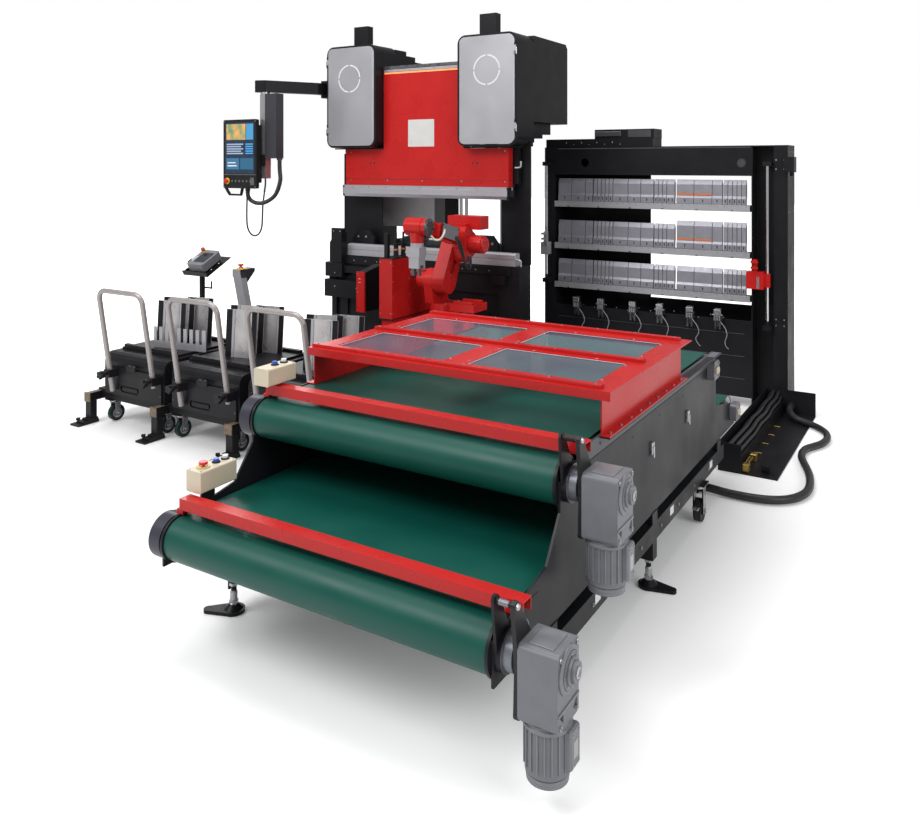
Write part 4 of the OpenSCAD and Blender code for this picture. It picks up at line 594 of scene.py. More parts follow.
# %% Screen
def screen_picture(name, low, high, light=0.55):
    """A generic control picture between two corners of an upright screen, in millimetres."""
    material, tree, shader, place = new_finish(name)
    w, h = high[0] - low[0], high[1] - low[1]
    colour = blend_colour(tree, spread(tree, noise(tree, place, 30.0), 0, 1), (0.01, 0.02, 0.04),
                          (0.015, 0.03, 0.06))
    view = blend_colour(tree, spread(tree, noise(tree, place, 16.0, 1.0), 0, 1), (0.75, 0.30, 0.06),
                        (0.10, 0.22, 0.12))
    areas = [(0.04, 0.66, 0.70, 0.97, view), (0.72, 0.66, 0.96, 0.97, (0.05, 0.22, 0.40))]
    for row in range(5):
        foot, head = 0.56 - row * 0.045, 0.585 - row * 0.045
        areas.append((0.05, foot, 0.62 - 0.07 * (row % 2), head, (0.25, 0.32, 0.42)))
        areas.append((0.70, foot, 0.95, head, (0.05, 0.25, 0.5)))
    areas += [(0.04, 0.08, 0.48, 0.30, (0.03, 0.12, 0.22)), (0.52, 0.08, 0.96, 0.30, (0.02, 0.09, 0.16)),
              (0.08, 0.14, 0.40, 0.16, (0.6, 0.62, 0.65)), (0.08, 0.20, 0.36, 0.22, (0.5, 0.53, 0.58))]
    for a, b, c, d, tint in areas:
        mask = box_mask(tree, place, (low[0] + a * w, -9000, low[1] + b * h),
                        (low[0] + c * w, 9000, low[1] + d * h))
        colour = blend_colour(tree, mask, colour, tint)
    tree.links.new(colour, shader.inputs["Base Color"])
    tree.links.new(colour, shader.inputs["Emission Color"])
    shader.inputs["Emission Strength"].default_value = light
    shader.inputs["Roughness"].default_value = 0.12
    return material


shop = bmesh.new()
plate(shop, rounded(-1362, 1545, -1072, 1912, 4), 1.0, upright(-540))
picture = screen_picture("pendant_picture", (-1362, 1545), (-1072, 1912))
finish_piece("pendant_display", shop, picture, "pendant_head")
shop = bmesh.new()
plate(shop, rounded(-1374, 1534, -1060, 1540, 2), 1.5, upright(-540))
for i in range(6):
    drum(shop, (-1290 + i * 36, -540, 1490), "-y", 9, 5, 1.2)
bar(shop, (-1110, -546, 1462), (-1072, -540, 1516), 2)
key_grey = coat_finish("key_grey", (0.10, 0.10, 0.11), 0.4, grain=40, bump=0.1)
finish_piece("pendant_keys", shop, key_grey, "pendant_head")
shop = bmesh.new()
drum(shop, (-1340, -541, 1490), "-y", 24, 4, 1)
finish_piece("pendant_stop_ring", shop, yellow, "pendant_head")
shop = bmesh.new()
turned(shop, (-1340, -545, 1490), "-y", [(0, 0), (9, 0), (9, 8), (17, 10), (18, 16), (14, 21), (0, 23)])
finish_piece("pendant_stop_knob", shop, stop_red, "pendant_head")
shop = bmesh.new()
for z in (1700, 1790, 1880, 1970, 2060):
    screw(shop, (-1048, -467, z), "-y", 4, 2.5)
for x, z in ((-1370, 1920), (-1064, 1920), (-1370, 1450), (-1064, 1450)):
    screw(shop, (x, -540, z), "-y", 3.5, 2)
finish_piece("pendant_screws", shop, zinc, "pendant_head")

# %% [markdown]
# ## Operator stands
# The teaching pendant lies on a tilted tray. Its parts are made flat and turned with the tray's own
# matrix, which is the easiest way to build anything on a slope.

# %% Stands
tray = Matrix.Translation((-1492, -600, 868)) @ Matrix.Rotation(math.radians(28), 4, "X")
shop = bmesh.new()
plate(shop, rounded(-38, -58, 68, 54, 5), 1.2, tray @ Matrix.Translation((0, 0, 72.2)))
dark_glass, tree, shader, place = new_finish("dark_glass")
glass_colour = blend_colour(tree, noise(tree, place, 25.0), (0.012, 0.018, 0.03), (0.03, 0.04, 0.055))
tree.links.new(glass_colour, shader.inputs["Base Color"])
shader.inputs["Roughness"].default_value = 0.08
finish_piece("teach_screen", shop, dark_glass, "cell")
shop = bmesh.new()
stop_spot = tray @ Matrix.Translation((-56, 70, 78))
turned(shop, (0, 0, 0), "z", [(15, 0), (19, 0), (19, 6.6), (15, 6.6), (15, 0)], turn=stop_spot)
finish_piece("teach_stop_ring", shop, yellow, "cell")
shop = bmesh.new()
turned(shop, (0, 0, 0), "z", [(0, 16), (14.4, 16), (15.5, 22), (12, 29.5), (0, 30)], turn=stop_spot)
finish_piece("teach_stop_knob", shop, stop_red, "cell")
shop = bmesh.new()
for row in range(4):
    for column in range(3):
        x, y = -70 + column * 9, -50 + row * 16
        bar(shop, (x, y, 77.6), (x + 6, y + 10, 80), 0.6, tray)
for x in (-118, 118):
    for y in (-60, 20):
        drum(shop, (0, 0, 0), "z", 5, 3, 1, 12, tray @ Matrix.Translation((x, y, 18)))
finish_piece("teach_keys", shop, white_mark, "cell")
shop = bmesh.new()
ring(shop, (-1148, -596, 875), "z", 29.6, 16.5, 1.4)
finish_piece("stand_stop_ring", shop, yellow, "cell")
shop = bmesh.new()
for x, y in ((-1065, -680), (-885, -680), (-1065, -520), (-885, -520), (-1600, -710), (-1420, -710),
             (-1600, -540), (-1420, -540)):
    screw(shop, (x, y, 12), "z", 7, 5)
finish_piece("stand_floor_bolts", shop, zinc, "cell")

# %% [markdown]
# ## Tool changer
# The bars that carry the tools are drilled, and each tool has a slot near its foot. Holes and slots are
# not cut: the dark spots are painted shade, thin inlays that stand a fraction of a millimetre proud in
# place of the shade inside them, which is lighter than cutting holes and looks the same from any distance.

# %% Tool changer details
ROWS = ((695, 739), (984, 1028), (1295, 1339))   # the bottom of each rail, and the foot of its tools
BANKS = ((636, (104, 104, 56, 26, 26, 26, 26, 26), (0, 108, 216, 280, 310, 340, 370, 400)),
         (1066, (110, 90, 90, 26, 26, 26, 26, 26), (0, 114, 208, 306, 336, 366, 396, 422)),
         (1530, (118, 120, 64, 26, 26, 26, 26, 26), (0, 122, 246, 320, 350, 380, 410, 440)))
slots, lines, marks, rails = bmesh.new(), bmesh.new(), bmesh.new(), bmesh.new()
for row, (rail, foot) in enumerate(ROWS):
    for bank, (x0, widths, starts) in enumerate(BANKS):
        for width, start in zip(widths, starts):
            if x0 + start + width >= 2026:
                continue
            middle = x0 + start + width / 2
            bar(slots, (middle - 3.4, 877.2, foot + 14), (middle + 3.4, 878.2, foot + 33), 0.3)
            left, right = x0 + start, x0 + start + width
            bar(lines, (left + 0.8, 877.5, foot + 39.5), (right - 0.8, 878.3, foot + 40.8), 0.2)
            if bank == 2 and row > 0 and start < 200:
                bar(marks, (left + 1, 881.5, foot + 60), (right - 1, 884, foot + 72), 0.3)
    bar(rails, (611.5, 866.2, rail + 1), (2025.5, 868.4, rail + 43), 0.6)
    for i in range(30):
        drum(slots, (625 + i * 47.5, 866.3, rail + 34), "-y", 2.4, 0.5, 0.1, 8)
        if i % 5 == 2:
            bar(slots, (620 + i * 47.5, 865.7, rail + 2), (634 + i * 47.5, 866.5, rail + 9), 0.2)
# painted shade: dark inlays stand for the shade inside the holes and slots
painted_slot_shade = coat_finish("painted_slot_shade", (0.01, 0.01, 0.011), 0.6, grain=40, bump=0.0)
finish_piece("tool_slot_shades", slots, painted_slot_shade, "cell")
finish_piece("tool_shoulder_lines", lines, dark_steel, "cell")
finish_piece("tool_orange_marks", marks, orange, "cell")
finish_piece("rail_faces", rails, steel, "cell")
shop = bmesh.new()
for x, low, high in ((560, 790, 1600), (2142, 590, 1600)):
    ring(shop, (x, 836, low), "z", 10.4, 9.02, high - low, 0.2, 24)
chrome = coat_finish("hard_chrome", (0.72, 0.72, 0.74), 0.10, 1.0, 0.02, 50, 0.0)
finish_piece("guide_rod_chrome", shop, chrome, "cell")
shop = bmesh.new()
for x in (545, 575, 2125, 2158):
    for z in (1606, 1622):
        screw(shop, (x, 832, z), "-y", 3.6, 3)
for i in range(8):
    if i % 2:
        screw(shop, (700 + i * 60, 886, 1756), "-y", 4, 2.5)
    else:
        drum(shop, (700 + i * 60, 886, 1770), "-y", 6, 1, 0.3, 12)
for x in (2190, 2240):
    for z in (560, 600, 1580, 1640):
        screw(shop, (x, 874, z), "-y", 5, 3)
for y in (900, 960, 1040, 1090):
    for z in (140, 700, 1300, 1690):
        screw(shop, (2262, y, z), "x", 5, 3)
for i in range(14):
    drum(shop, (760 + i * 84, 874, 592 - (i % 3) * 12), "-y", 4, 1.4, 0.3, 10)
finish_piece("changer_screws", shop, zinc, "cell")
shop = bmesh.new()
bar(shop, (640, 871.5, 1722), (2030, 874.2, 1728), 0.8)
bar(shop, (918, 894, 1813), (1120, 906, 1850), 4)
bar(shop, (1170, 903.5, 1806), (1340, 904.4, 1856), 1)
for z in (180, 330, 480):
    bar(shop, (640, 871.5, z), (1990, 874.2, z + 3), 0.8)
drum(shop, (1967, 883, 1623), "-y", 31, 0.6, 0.2, 40)
edge_grey = coat_finish("edge_grey", (0.05, 0.05, 0.055), 0.35, grain=20, bump=0.1)
finish_piece("changer_seams", shop, edge_grey, "cell")
SPARE_GRIPPERS = (800, 988, 1227, 1423, 1633, 1821)
wire_grey = coat_finish("grey_wire", (0.30, 0.30, 0.32), 0.4, grain=60, bump=0.1)
for i, x in enumerate(SPARE_GRIPPERS):
    points = [(x + 8, 840, 600), (x + 20, 834, 560), (x + 52, 836, 515), (x + 62, 842, 470),
              (x + 40 + 8 * (i % 2), 848, 425), (x + 52, 856, 392), (x + 66, 870, 372)]
    run, length = cable("gripper_wire_%d" % i, points, 2.6, wire_grey, "cell")
shop = bmesh.new()
for i, x in enumerate(SPARE_GRIPPERS):
    bar(shop, (x - 23, 826, 604), (x + 23, 831, 636), 1.5)
    for dx in (-15, 0, 15):
        screw(shop, (x + dx, 826, 612 + 12 * (i % 2)), "-y", 3.6, 3)
        bar(shop, (x + dx - 3.5, 824, 566), (x + dx + 3.5, 830.5, 596), 1)
    if i % 2:
        bar(shop, (x - 34, 828, 598), (x + 34, 846, 603), 1)
finish_piece("gripper_jaw_details", shop, zinc, "cell")
shop = bmesh.new()
bar(shop, (2082, 791.5, 804), (2100, 795, 880), 1)
for z in (815, 870):
    screw(shop, (2090, 791.5, z), "-y", 4, 3)
finish_piece("shuttle_plate_screws", shop, zinc, "shuttle_right")
shop = bmesh.new()
for z in (1006, 1030, 1018):
    bar(shop, (549, 790, z - 4), (585, 792.2, z + 4), 0.8)
finish_piece("left_shuttle_fingers", shop, zinc, "shuttle_left")
shop = bmesh.new()
for y in (-260, -60, 140, 340, 540, 740):
    bar(shop, (2129.2, y, 30), (2130.3, y + 60, 34), 0.3)
for y in (-360, -180):
    bar(shop, (2250, y, 6.2), (2284, y + 40, 46), 3)
for x in (2262, 2276):
    bar(shop, (x, -330, 46), (x + 6, -240, 56), 1)
for y in (-30, 150, 330, 510):
    bar(shop, (2244, y, 6.2), (2282, y + 5, 12), 1)
brass = coat_finish("brass", (0.42, 0.28, 0.08), 0.35, 0.8, 0.1, 60, 0.1)
finish_piece("trough_details", shop, brass, "cell")

# %% [markdown]
# ## Carts
# Each handle is held by a knob with lobes. A lobed knob is a circle whose rim goes in and out; the
# outline is extruded and its edges are broken.

# %% Cart details
def lobed(lobes, outer, inner, steps=8):
    """The outline of a knob whose rim goes in and out once for each lobe."""
    count, outline = lobes * steps, []
    for i in range(count):
        reach = inner + (outer - inner) * (0.5 + 0.5 * math.cos(math.tau * i / steps))
        a = math.tau * i / count
        outline.append((reach * math.cos(a), reach * math.sin(a)))
    return outline


CARTS = [(-1265 + i * 616, -1550) for i in range(3)]
facing_front = Matrix.Rotation(math.radians(90), 4, "X")
knobs, edges, wheels, forks, hubs = (bmesh.new() for _ in range(5))
for x, y in CARTS:
    for leg in (x + 43, x + 435):
        plate(knobs, lobed(5, 27, 18), 15, Matrix.Translation((leg, y - 114, 339)) @ facing_front, 1.5)
    bar(knobs, (x + 180, y - 26, 372), (x + 250, y - 8, 384), 3)
    plate(knobs, lobed(2, 44, 14), 12, Matrix.Translation((x + 214, y - 26, 378)) @ facing_front, 1.5)
    for bx in (x - 182, x + 434):
        bar(edges, (bx - 6.6, y - 66.8, 136), (bx + 48.6, y - 60, 192.4), 1)
        bar(edges, (bx + 1, y - 59, 188.2), (bx + 41, y + 250, 190), 0.5)
        plate(knobs, lobed(4, 15, 10), 12, Matrix.Translation((bx - 30, y - 92, 22)), 1)
        drum(knobs, (bx - 30, y - 92, 10), "z", 6, 13)
    for cx in (x - 72, x + 404):
        for cy in (y + 60, y + 520):
            ring(wheels, (cx - 16.6, cy + 18, 50.3), "x", 50.3, 34, 33.2, 6, 36)
            ring(hubs, (cx - 17.4, cy + 18, 50), "x", 33.5, 8, 34.8, 3, 24)
            for s in (-1, 1):
                bar(forks, (cx + s * 21 - 3.8, cy - 5, 40), (cx + s * 21 + 3.8, cy + 33, 120), 1.5)
                drum(forks, (cx + s * 25, cy + 18, 50), "x" if s > 0 else "-x", 9, 6, 1.5, 12)
            bar(forks, (cx - 30, cy - 12, 117), (cx + 30, cy + 38, 124), 3)
            drum(forks, (cx, cy, 121), "z", 26, 16, 3)
finish_piece("cart_knobs", knobs, black_plastic, "cell")
tan_edge = coat_finish("worn_tan_edge", (0.16, 0.115, 0.075), 0.5, grain=60, mottle=0.4, bump=0.3)
finish_piece("outrigger_caps", edges, tan_edge, "cell")
green_tyre = coat_finish("green_black_tyre", (0.004, 0.028, 0.022), 0.4, grain=60, bump=0.2)
finish_piece("cart_tyres", wheels, green_tyre, "cell")
finish_piece("cart_wheel_hubs", hubs, zinc, "cell")
finish_piece("cart_forks", forks, zinc, "cell")
shop = bmesh.new()
for x, y in CARTS:
    for z in (366, 240):
        for dx in (-52, 452):
            drum(shop, (x + dx, y - 12 if z < 300 else y - 0.5, z), "-y", 4, 1.6, 0.4, 10)
    bar(shop, (x - 75.6, y + 30, 210), (x - 74.8, y + 600, 212), 0.3)
    for k in range(6):
        drum(shop, (x - 30 + k * 80, y + 128, 476), "z", 6, 2.4, 0.6, 12)
        drum(shop, (x - 30 + k * 80, y + 554, 476), "z", 6, 2.4, 0.6, 12)
finish_piece("cart_fasteners", shop, dark_steel, "cell")

# %% [markdown]
# ## Striped separators
# The tall plates between parts are bright and dark in turn. A finish that reads a UV map suits them,
# but the plates are CAD nodes, so the stripes are thin skins laid just proud of each plate.

# %% Separators
dark_skin, bright_skin = bmesh.new(), bmesh.new()
deck = 444 + 14.1
for x, y in CARTS:
    for (px, py), w, turn, lean in (((x + 200, y + 270), 210, 12, -4), ((x + 120, y + 390), 230, 16, -6),
                                    ((x + 245, y + 455), 200, 10, -5)):
        spot = Matrix.Translation((px, py, deck + 1.1)) @ Matrix.Rotation(math.radians(turn), 4, "Z") \
            @ Matrix.Rotation(math.radians(lean), 4, "X")
        for a, b, dark in ((-0.5, -0.22, True), (-0.22, 0.34, False), (0.34, 0.5, True)):
            skin = dark_skin if dark else bright_skin
            bar(skin, (a * w, -0.7, 0.6), (b * w, -0.05, 283.6), 0.1, spot)
            bar(skin, (a * w, 6.05, 0.6), (b * w, 6.7, 283.6), 0.1, spot)
finish_piece("separator_dark_stripes", dark_skin, black_paint, "cell")
bright_sheet = coat_finish("bright_sheet", (0.55, 0.53, 0.53), 0.3, 0.5, 0.12, 12, 0.1)
finish_piece("separator_bright_stripes", bright_skin, bright_sheet, "cell")

# %% [markdown]
# ## The conveyor's drive side
# Each drive roller runs in a flange bearing and carries a hollow-shaft gearbox, with its motor
# hanging below. The ribs of the motor are turned rings, and the gearbox has pockets at its corners.

# %% Gear motors and bearings
housings, bolts, pockets, plates, ribs = (bmesh.new() for _ in range(5))
for y, z in ((-2552, 664), (-2956, 366)):
    x = 2254 + 49
    for dy, dz in ((-48, 44), (52, 44), (-48, -121), (52, -121)):
        screw(bolts, (x + 110, y + dy, z + dz), "x", 6.5, 4)
    for dy, dz, turn in ((-40, 34, 0), (44, 34, 90), (-40, -104, 270), (44, -104, 180)):
        place = Matrix.Translation((x + 110, y + dy, z + dz)) @ Matrix.Rotation(math.radians(90), 4, "Y") \
            @ Matrix.Rotation(math.radians(turn), 4, "Z")
        plate(pockets, [(-10, -9), (11, -9), (-10, 12)], 0.6, place)
    turned(housings, (x + 110, y, z), "x", [(50, -2), (58, 0), (58, 4), (50, 8), (47, 8), (46.6, -1)], 40)
    turned(housings, (x + 120, y, z), "x", [(26.4, 0), (34, 0), (34, 5), (31, 8), (26.4, 8)], 32)
    turned(bolts, (x + 136, y, z), "x", [(0, 0), (14, 0), (14, 3), (9, 4), (9, 2), (0, 2)], 24)
    for dy, dz in ((30, 0), (-30, 0), (0, 30), (0, -30), (22, 22), (-22, -22)):
        screw(bolts, (x + 119, y + dy * 1.25, z + dz * 1.25), "x", 3.6, 3)
    bar(housings, (x + 109, y - 60, z - 92), (x + 113, y + 64, z - 84), 1)
    bar(housings, (x + 20, y - 40, z + 57), (x + 90, y + 44, z + 61), 2)
    for i in range(20):   # motor ribs
        a = math.tau * i / 20
        place = Matrix.Translation((x + 50, y + 8, z - 252)) @ Matrix.Rotation(a, 4, "Z")
        bar(ribs, (57, -2.2, 0), (62, 2.2, 100), 0.8, place)
    end_cap = [(0, 0), (46, 0), (52, 5), (56, 12), (56, 20), (54.3, 20), (54.3, 2), (0, 2)]
    turned(ribs, (x + 50, y + 8, z - 290), "z", end_cap, 36)
    collar = [(58.2, 0), (62, 0), (64, 3), (64, 10), (61.2, 12), (61.2, 3), (58.2, 3)]
    turned(ribs, (x + 50, y + 8, z - 154), "z", collar, 36)
    bar(housings, (x + 98, y - 12, z - 248), (x + 124, y + 44, z - 147), 5)
    for dz in (-236, -160):
        screw(bolts, (x + 124, y - 2, z + dz), "x", 3, 2)
        screw(bolts, (x + 124, y + 34, z + dz), "x", 3, 2)
    bar(plates, (x + 123.5, y + 4, z - 222), (x + 124.6, y + 28, z - 180), 0.4)
    for dy, dz in ((30, 30), (-30, -30), (30, -30), (-30, 30)):   # bearing flange bolts
        screw(bolts, (2280, y + dy * 0.95 + 4, z + dz * 0.95), "x", 7, 6)
    for i in range(8):
        a = math.tau * (i + 0.5) / 8
        if math.cos(a) > 0:
            screw(bolts, (2244, y + 51 * math.cos(a), z + 51 * math.sin(a)), "x", 4, 3)
    drum(bolts, (x - 16, y - 62, z + 152), "x", 9, 22, 2, 12)
gearbox_grey = coat_finish("gearbox_grey", (0.175, 0.182, 0.20), 0.38, grain=25, bump=0.25, dents=420)
finish_piece("gearbox_covers", housings, gearbox_grey, "cell")
finish_piece("gearbox_pockets", pockets, black_plastic, "cell")
rib_grey = coat_finish("motor_rib_grey", (0.185, 0.192, 0.21), 0.42, grain=25, bump=0.3, dents=420)
finish_piece("motor_ribs", ribs, rib_grey, "cell")
blank_plate = coat_finish("blank_plate", (0.45, 0.45, 0.46), 0.35, 0.6, 0.05, 60, 0.05)
finish_piece("motor_rating_plates", plates, blank_plate, "cell")
finish_piece("drive_bolts", bolts, zinc, "cell")

# %% [markdown]
# ## Conveyor frame details
# A seam runs along the dark side panel, and the tension bearings at its back carry cream end caps.
# White cable tags, latches and foot spindles finish the frame.

# %% Side panel, tags and feet
seams, caps, tags, feet, rails = (bmesh.new() for _ in range(5))
bar(seams, (2235.8, -2440, 676), (2237, -900, 679.5), 0.3)
bar(seams, (2235.8, -2880, 424), (2237, -2760, 427), 0.3)
for y in (-2300, -1990, -1680, -1370, -1060):
    drum(seams, (2236, y, 708), "x", 5, 1.2, 0.3, 12)
    drum(seams, (2236, y, 640), "x", 4, 1.0, 0.3, 12)
for y, z in ((-948, 664), (-526, 366)):
    for x, axis in ((2268, "x"), (956, "-x")):
        plate(caps, rounded(-16, -26, 16, 26, 15), 9, Matrix.Translation((x, y, z)) @ AXES[axis], 2)
    for dy, dz in ((34, 28), (-34, 28), (34, -28), (-34, -28)):
        screw(rails, (2268, y + dy, z + dz), "x", 5.5, 4)
for y in (-2350, -1560, -960):
    bar(tags, (2238.4, y, 204), (2239.4, y + 46, 236), 0.3)
for y in (-1800, -1330):
    bar(rails, (2236, y, 520), (2246, y + 26, 566), 2)
    bar(rails, (2244, y + 8, 508), (2250, y + 18, 552), 1.5)
for x, y in ((990, -2703), (2214, -1752)):
    turned(feet, (x, y, 26), "z", [(10.2, 0), (16, 0), (16, 6), (13, 9), (13, 46), (10.3, 52)], 20)
    turned(feet, (x, y, 34), "z", [(10.3, 0), (17, 0), (17, 9), (10.3, 9)], 6)
    turned(feet, (x, y, 96), "z", [(10.3, 0), (17, 0), (17, 9), (10.3, 9)], 6)
for y in range(-2600, -760, 230):
    screw(rails, (2239, y, 214), "x", 6, 4)
seam_black = coat_finish("seam_black", (0.004, 0.004, 0.005), 0.5, grain=30, bump=0.0)
finish_piece("panel_seams", seams, seam_black, "cell")
cap_cream = coat_finish("cap_cream", (0.50, 0.45, 0.34), 0.4, grain=30, bump=0.1)
finish_piece("tension_caps", caps, cap_cream, "cell")
finish_piece("cable_tags", tags, white_mark, "cell")
finish_piece("conveyor_hardware", rails, zinc, "cell")
finish_piece("foot_spindles", feet, zinc, "cell")
CASTERS = ((2219, -1077), (1004, -1090))
shop = bmesh.new()
for cx, cy in CASTERS:
    for s in (-1, 1):
        bar(shop, (cx + s * 21 - 3.8, cy - 5, 38), (cx + s * 21 + 3.8, cy + 33, 160), 1.5)
        drum(shop, (cx + s * 25, cy + 18, 50), "x" if s > 0 else "-x", 10, 6, 1.5, 12)
    bar(shop, (cx - 38, cy - 38, 172), (cx + 38, cy + 38, 178), 2)
    turned(shop, (cx, cy, 156), "z", [(0, 0), (26, 0), (28, 4), (28, 12), (24, 17), (0, 17)], 24)
    bar(shop, (cx - 14, cy - 56, 70), (cx + 14, cy - 6, 76), 2)
finish_piece("conveyor_caster_forks", shop, zinc, "cell")
shop = bmesh.new()
for cx, cy in CASTERS:
    ring(shop, (cx - 16.6, cy + 18, 50.3), "x", 50.3, 32, 33.2, 6, 36)
finish_piece("conveyor_caster_tyres", shop, tyre, "cell")

# %% [markdown]
# ## Hood details
# Rivets and flange screws line the red hood, and each window sheet shows a lit edge, so a thin
# bright frame of painted highlight runs round its opening.

# %% Hood
screws, edges = bmesh.new(), bmesh.new()
x0, x1, y0, y1, top = 1028, 2247, -2313, -1443, 886
for i in range(9):
    screw(screws, (x1 + 14, y0 + 40 + i * 98, 738), "z", 5, 4)
    screw(screws, (x0 - 20, y0 + 40 + i * 98, 741), "z", 5, 4)
for y in (y0 - 10, y0 + 400, y1 - 30):
    for i in range(8):
        screw(screws, (x0 + 20 + i * 168, y + 15, top + 16), "z", 4.5, 3)
for i in (0, 1):
    for j in (0, 1):
        wx, wy = x0 + 70 + i * 600, y0 + 60 + j * 400
        bar(edges, (wx + 0.2, wy + 0.2, top - 0.2), (wx + 499.8, wy + 4, top + 1.2), 0.2)
        bar(edges, (wx + 0.2, wy + 306, top - 0.2), (wx + 499.8, wy + 309.8, top + 1.2), 0.2)
        bar(edges, (wx + 0.2, wy + 4, top - 0.2), (wx + 4, wy + 306, top + 1.2), 0.2)
        bar(edges, (wx + 496, wy + 4, top - 0.2), (wx + 499.8, wy + 306, top + 1.2), 0.2)
        for dx, dy in ((-10, 40), (-10, 270), (510, 40), (510, 270), (120, -10), (380, -10), (120, 320),
                       (380, 320)):
            drum(screws, (wx + dx, wy + dy, top + 4), "z", 5, 2.2, 0.8, 12)
finish_piece("hood_screws", screws, zinc, "cell")
# painted highlight: a pale frame stands for the light caught by each window's edge
acrylic_edge_highlight = coat_finish("acrylic_edge_highlight", (0.62, 0.60, 0.70), 0.2, grain=20, bump=0.0)
finish_piece("window_edge_highlights", edges, acrylic_edge_highlight, "cell")

# %% [markdown]
# ## Button boxes
# The buttons stand on top of each box. A ring of yellow sits under the red stop button, and black
# collars under the others.

# %% Box details
rings, collars, covers = bmesh.new(), bmesh.new(), bmesh.new()
ring(rings, (1025, -2876, 584), "z", 22.3, 15.4, 1.2)
for x, y, z in ((1025, -2818, 580), (1025, -2777, 580), (1029, -2534, 860), (1029, -2486, 860)):
    turned(collars, (x, y, z), "z", [(10.6, 0), (15, 0), (15, 3), (13, 5), (10.6, 5)], 28)
for lo, hi in (((990, -2918, 507), (1060, -2757, 580)), ((992, -2606, 796), (1066, -2460, 860))):
    for y in (lo[1] + 8, hi[1] - 8):
        screw(covers, (lo[0] + 8, y, hi[2]), "z", 2.6, 1.5)
        screw(covers, (hi[0] - 8, y, hi[2]), "z", 2.6, 1.5)
finish_piece("stop_ring_yellow", rings, yellow, "cell")
finish_piece("button_collars", collars, black_plastic, "cell")
finish_piece("box_screws", covers, zinc, "cell")

# %% [markdown]
# ## Robot details
# Motor ends have bolted caps, and the wrist a dark disc with its own ring of screws. Screws on a
# circle are placed by a loop over the angle, so their spacing is even.

# %% Robot
caps, bolts = bmesh.new(), bmesh.new()
disc = [(0, 8.2), (36, 8.2), (41, 6), (41, 0.2), (53, 0.2), (53, 5), (46, 10), (30, 12), (0, 12)]
turned(caps, (530.2, -725, 1240), "x", disc, 40)
wrist_cap = coat_finish("wrist_cap", (0.10, 0.10, 0.11), 0.3, 0.6, grain=30, bump=0.1)
finish_piece("wrist_disc", caps, wrist_cap, "forearm")
for i in range(8):
    a = math.tau * i / 8
    screw(bolts, (540, -725 + 40 * math.cos(a), 1240 + 40 * math.sin(a)), "x", 3.4, 3)
finish_piece("wrist_disc_screws", bolts, zinc, "forearm")
shop = bmesh.new()
for dy, dz in ((40, 40), (-40, 40), (40, -40), (-40, -40)):
    screw(shop, (682, -330 + dy * 0.8, 1110 + dz * 0.8), "x", 4.5, 4)
for i in range(6):
    a = math.tau * i / 6
    screw(shop, (694, -330 + 34 * math.cos(a), 1110 + 34 * math.sin(a)), "x", 3, 2.5)
finish_piece("elbow_motor_screws", shop, zinc, "elbow")
shop = bmesh.new()
for i in range(6):
    a = math.tau * i / 6
    screw(shop, (274, -440 + 36 * math.cos(a), 880 + 36 * math.sin(a)), "-x", 3.4, 3)
    if math.cos(a) > -0.2 and abs(math.sin(a)) > 0.4:
        screw(shop, (447 + 88 * math.cos(a), -400 + 88 * math.sin(a), 744), "z", 5, 5)
finish_piece("turret_screws", shop, zinc, "turret")

# %% [markdown]
# ## Forearm plate and hoses
# A grey plate covers the forearm's side. Two black loops and a pale air hose start behind it, and
# ride on the forearm.

# %% Forearm plate and arm hoses
shop, screws = bmesh.new(), bmesh.new()
outline = ((-657, 1264), (-483, 1219.5), (-504, 1140), (-677, 1185))
plate(shop, outline, 2, Matrix(((0, 0, 1, 592), (1, 0, 0, 0), (0, 1, 0, 0), (0, 0, 0, 1))), 0.6)
for y, z in ((-660, 1254), (-492, 1211), (-512, 1149), (-668, 1194)):
    screw(screws, (594, y, z), "x", 4.6, 2.5)
bar(shop, (560, -600, 1185), (593, -570, 1222), 2)
finish_piece("forearm_plate", shop, motor_grey, "forearm")
finish_piece("forearm_plate_screws", screws, black_plastic, "forearm")
arm_hose = coat_finish("arm_hose", (0.012, 0.012, 0.013), 0.35, grain=40, bump=0.1)
air_hose = coat_finish("air_hose", (0.55, 0.50, 0.42), 0.4, grain=40, bump=0.1)
for name, radius, skin, points in (
        ("arm_loop_1", 8, arm_hose,
            [(584, -510, 1180), (600, -500, 1150), (612, -480, 1090),
             (616, -455, 1020), (616, -425, 985), (612, -395, 1000), (604, -380, 1040)]),
        ("arm_loop_2", 6, arm_hose,
            [(584, -525, 1180), (604, -522, 1145), (622, -500, 1070),
             (628, -465, 995), (628, -420, 965), (620, -385, 990), (608, -366, 1035)]),
        ("arm_air_hose", 7, air_hose,
            [(584, -640, 1225), (604, -664, 1215), (606, -692, 1185),
             (590, -706, 1166), (562, -712, 1168), (538, -712, 1188)])):
    run, length = cable(name, points, radius, skin, "forearm")

# %% [markdown]
# ## Gripper stand
# Black rubber strips line the red stand's edges, and each tapered post has an orange ring.

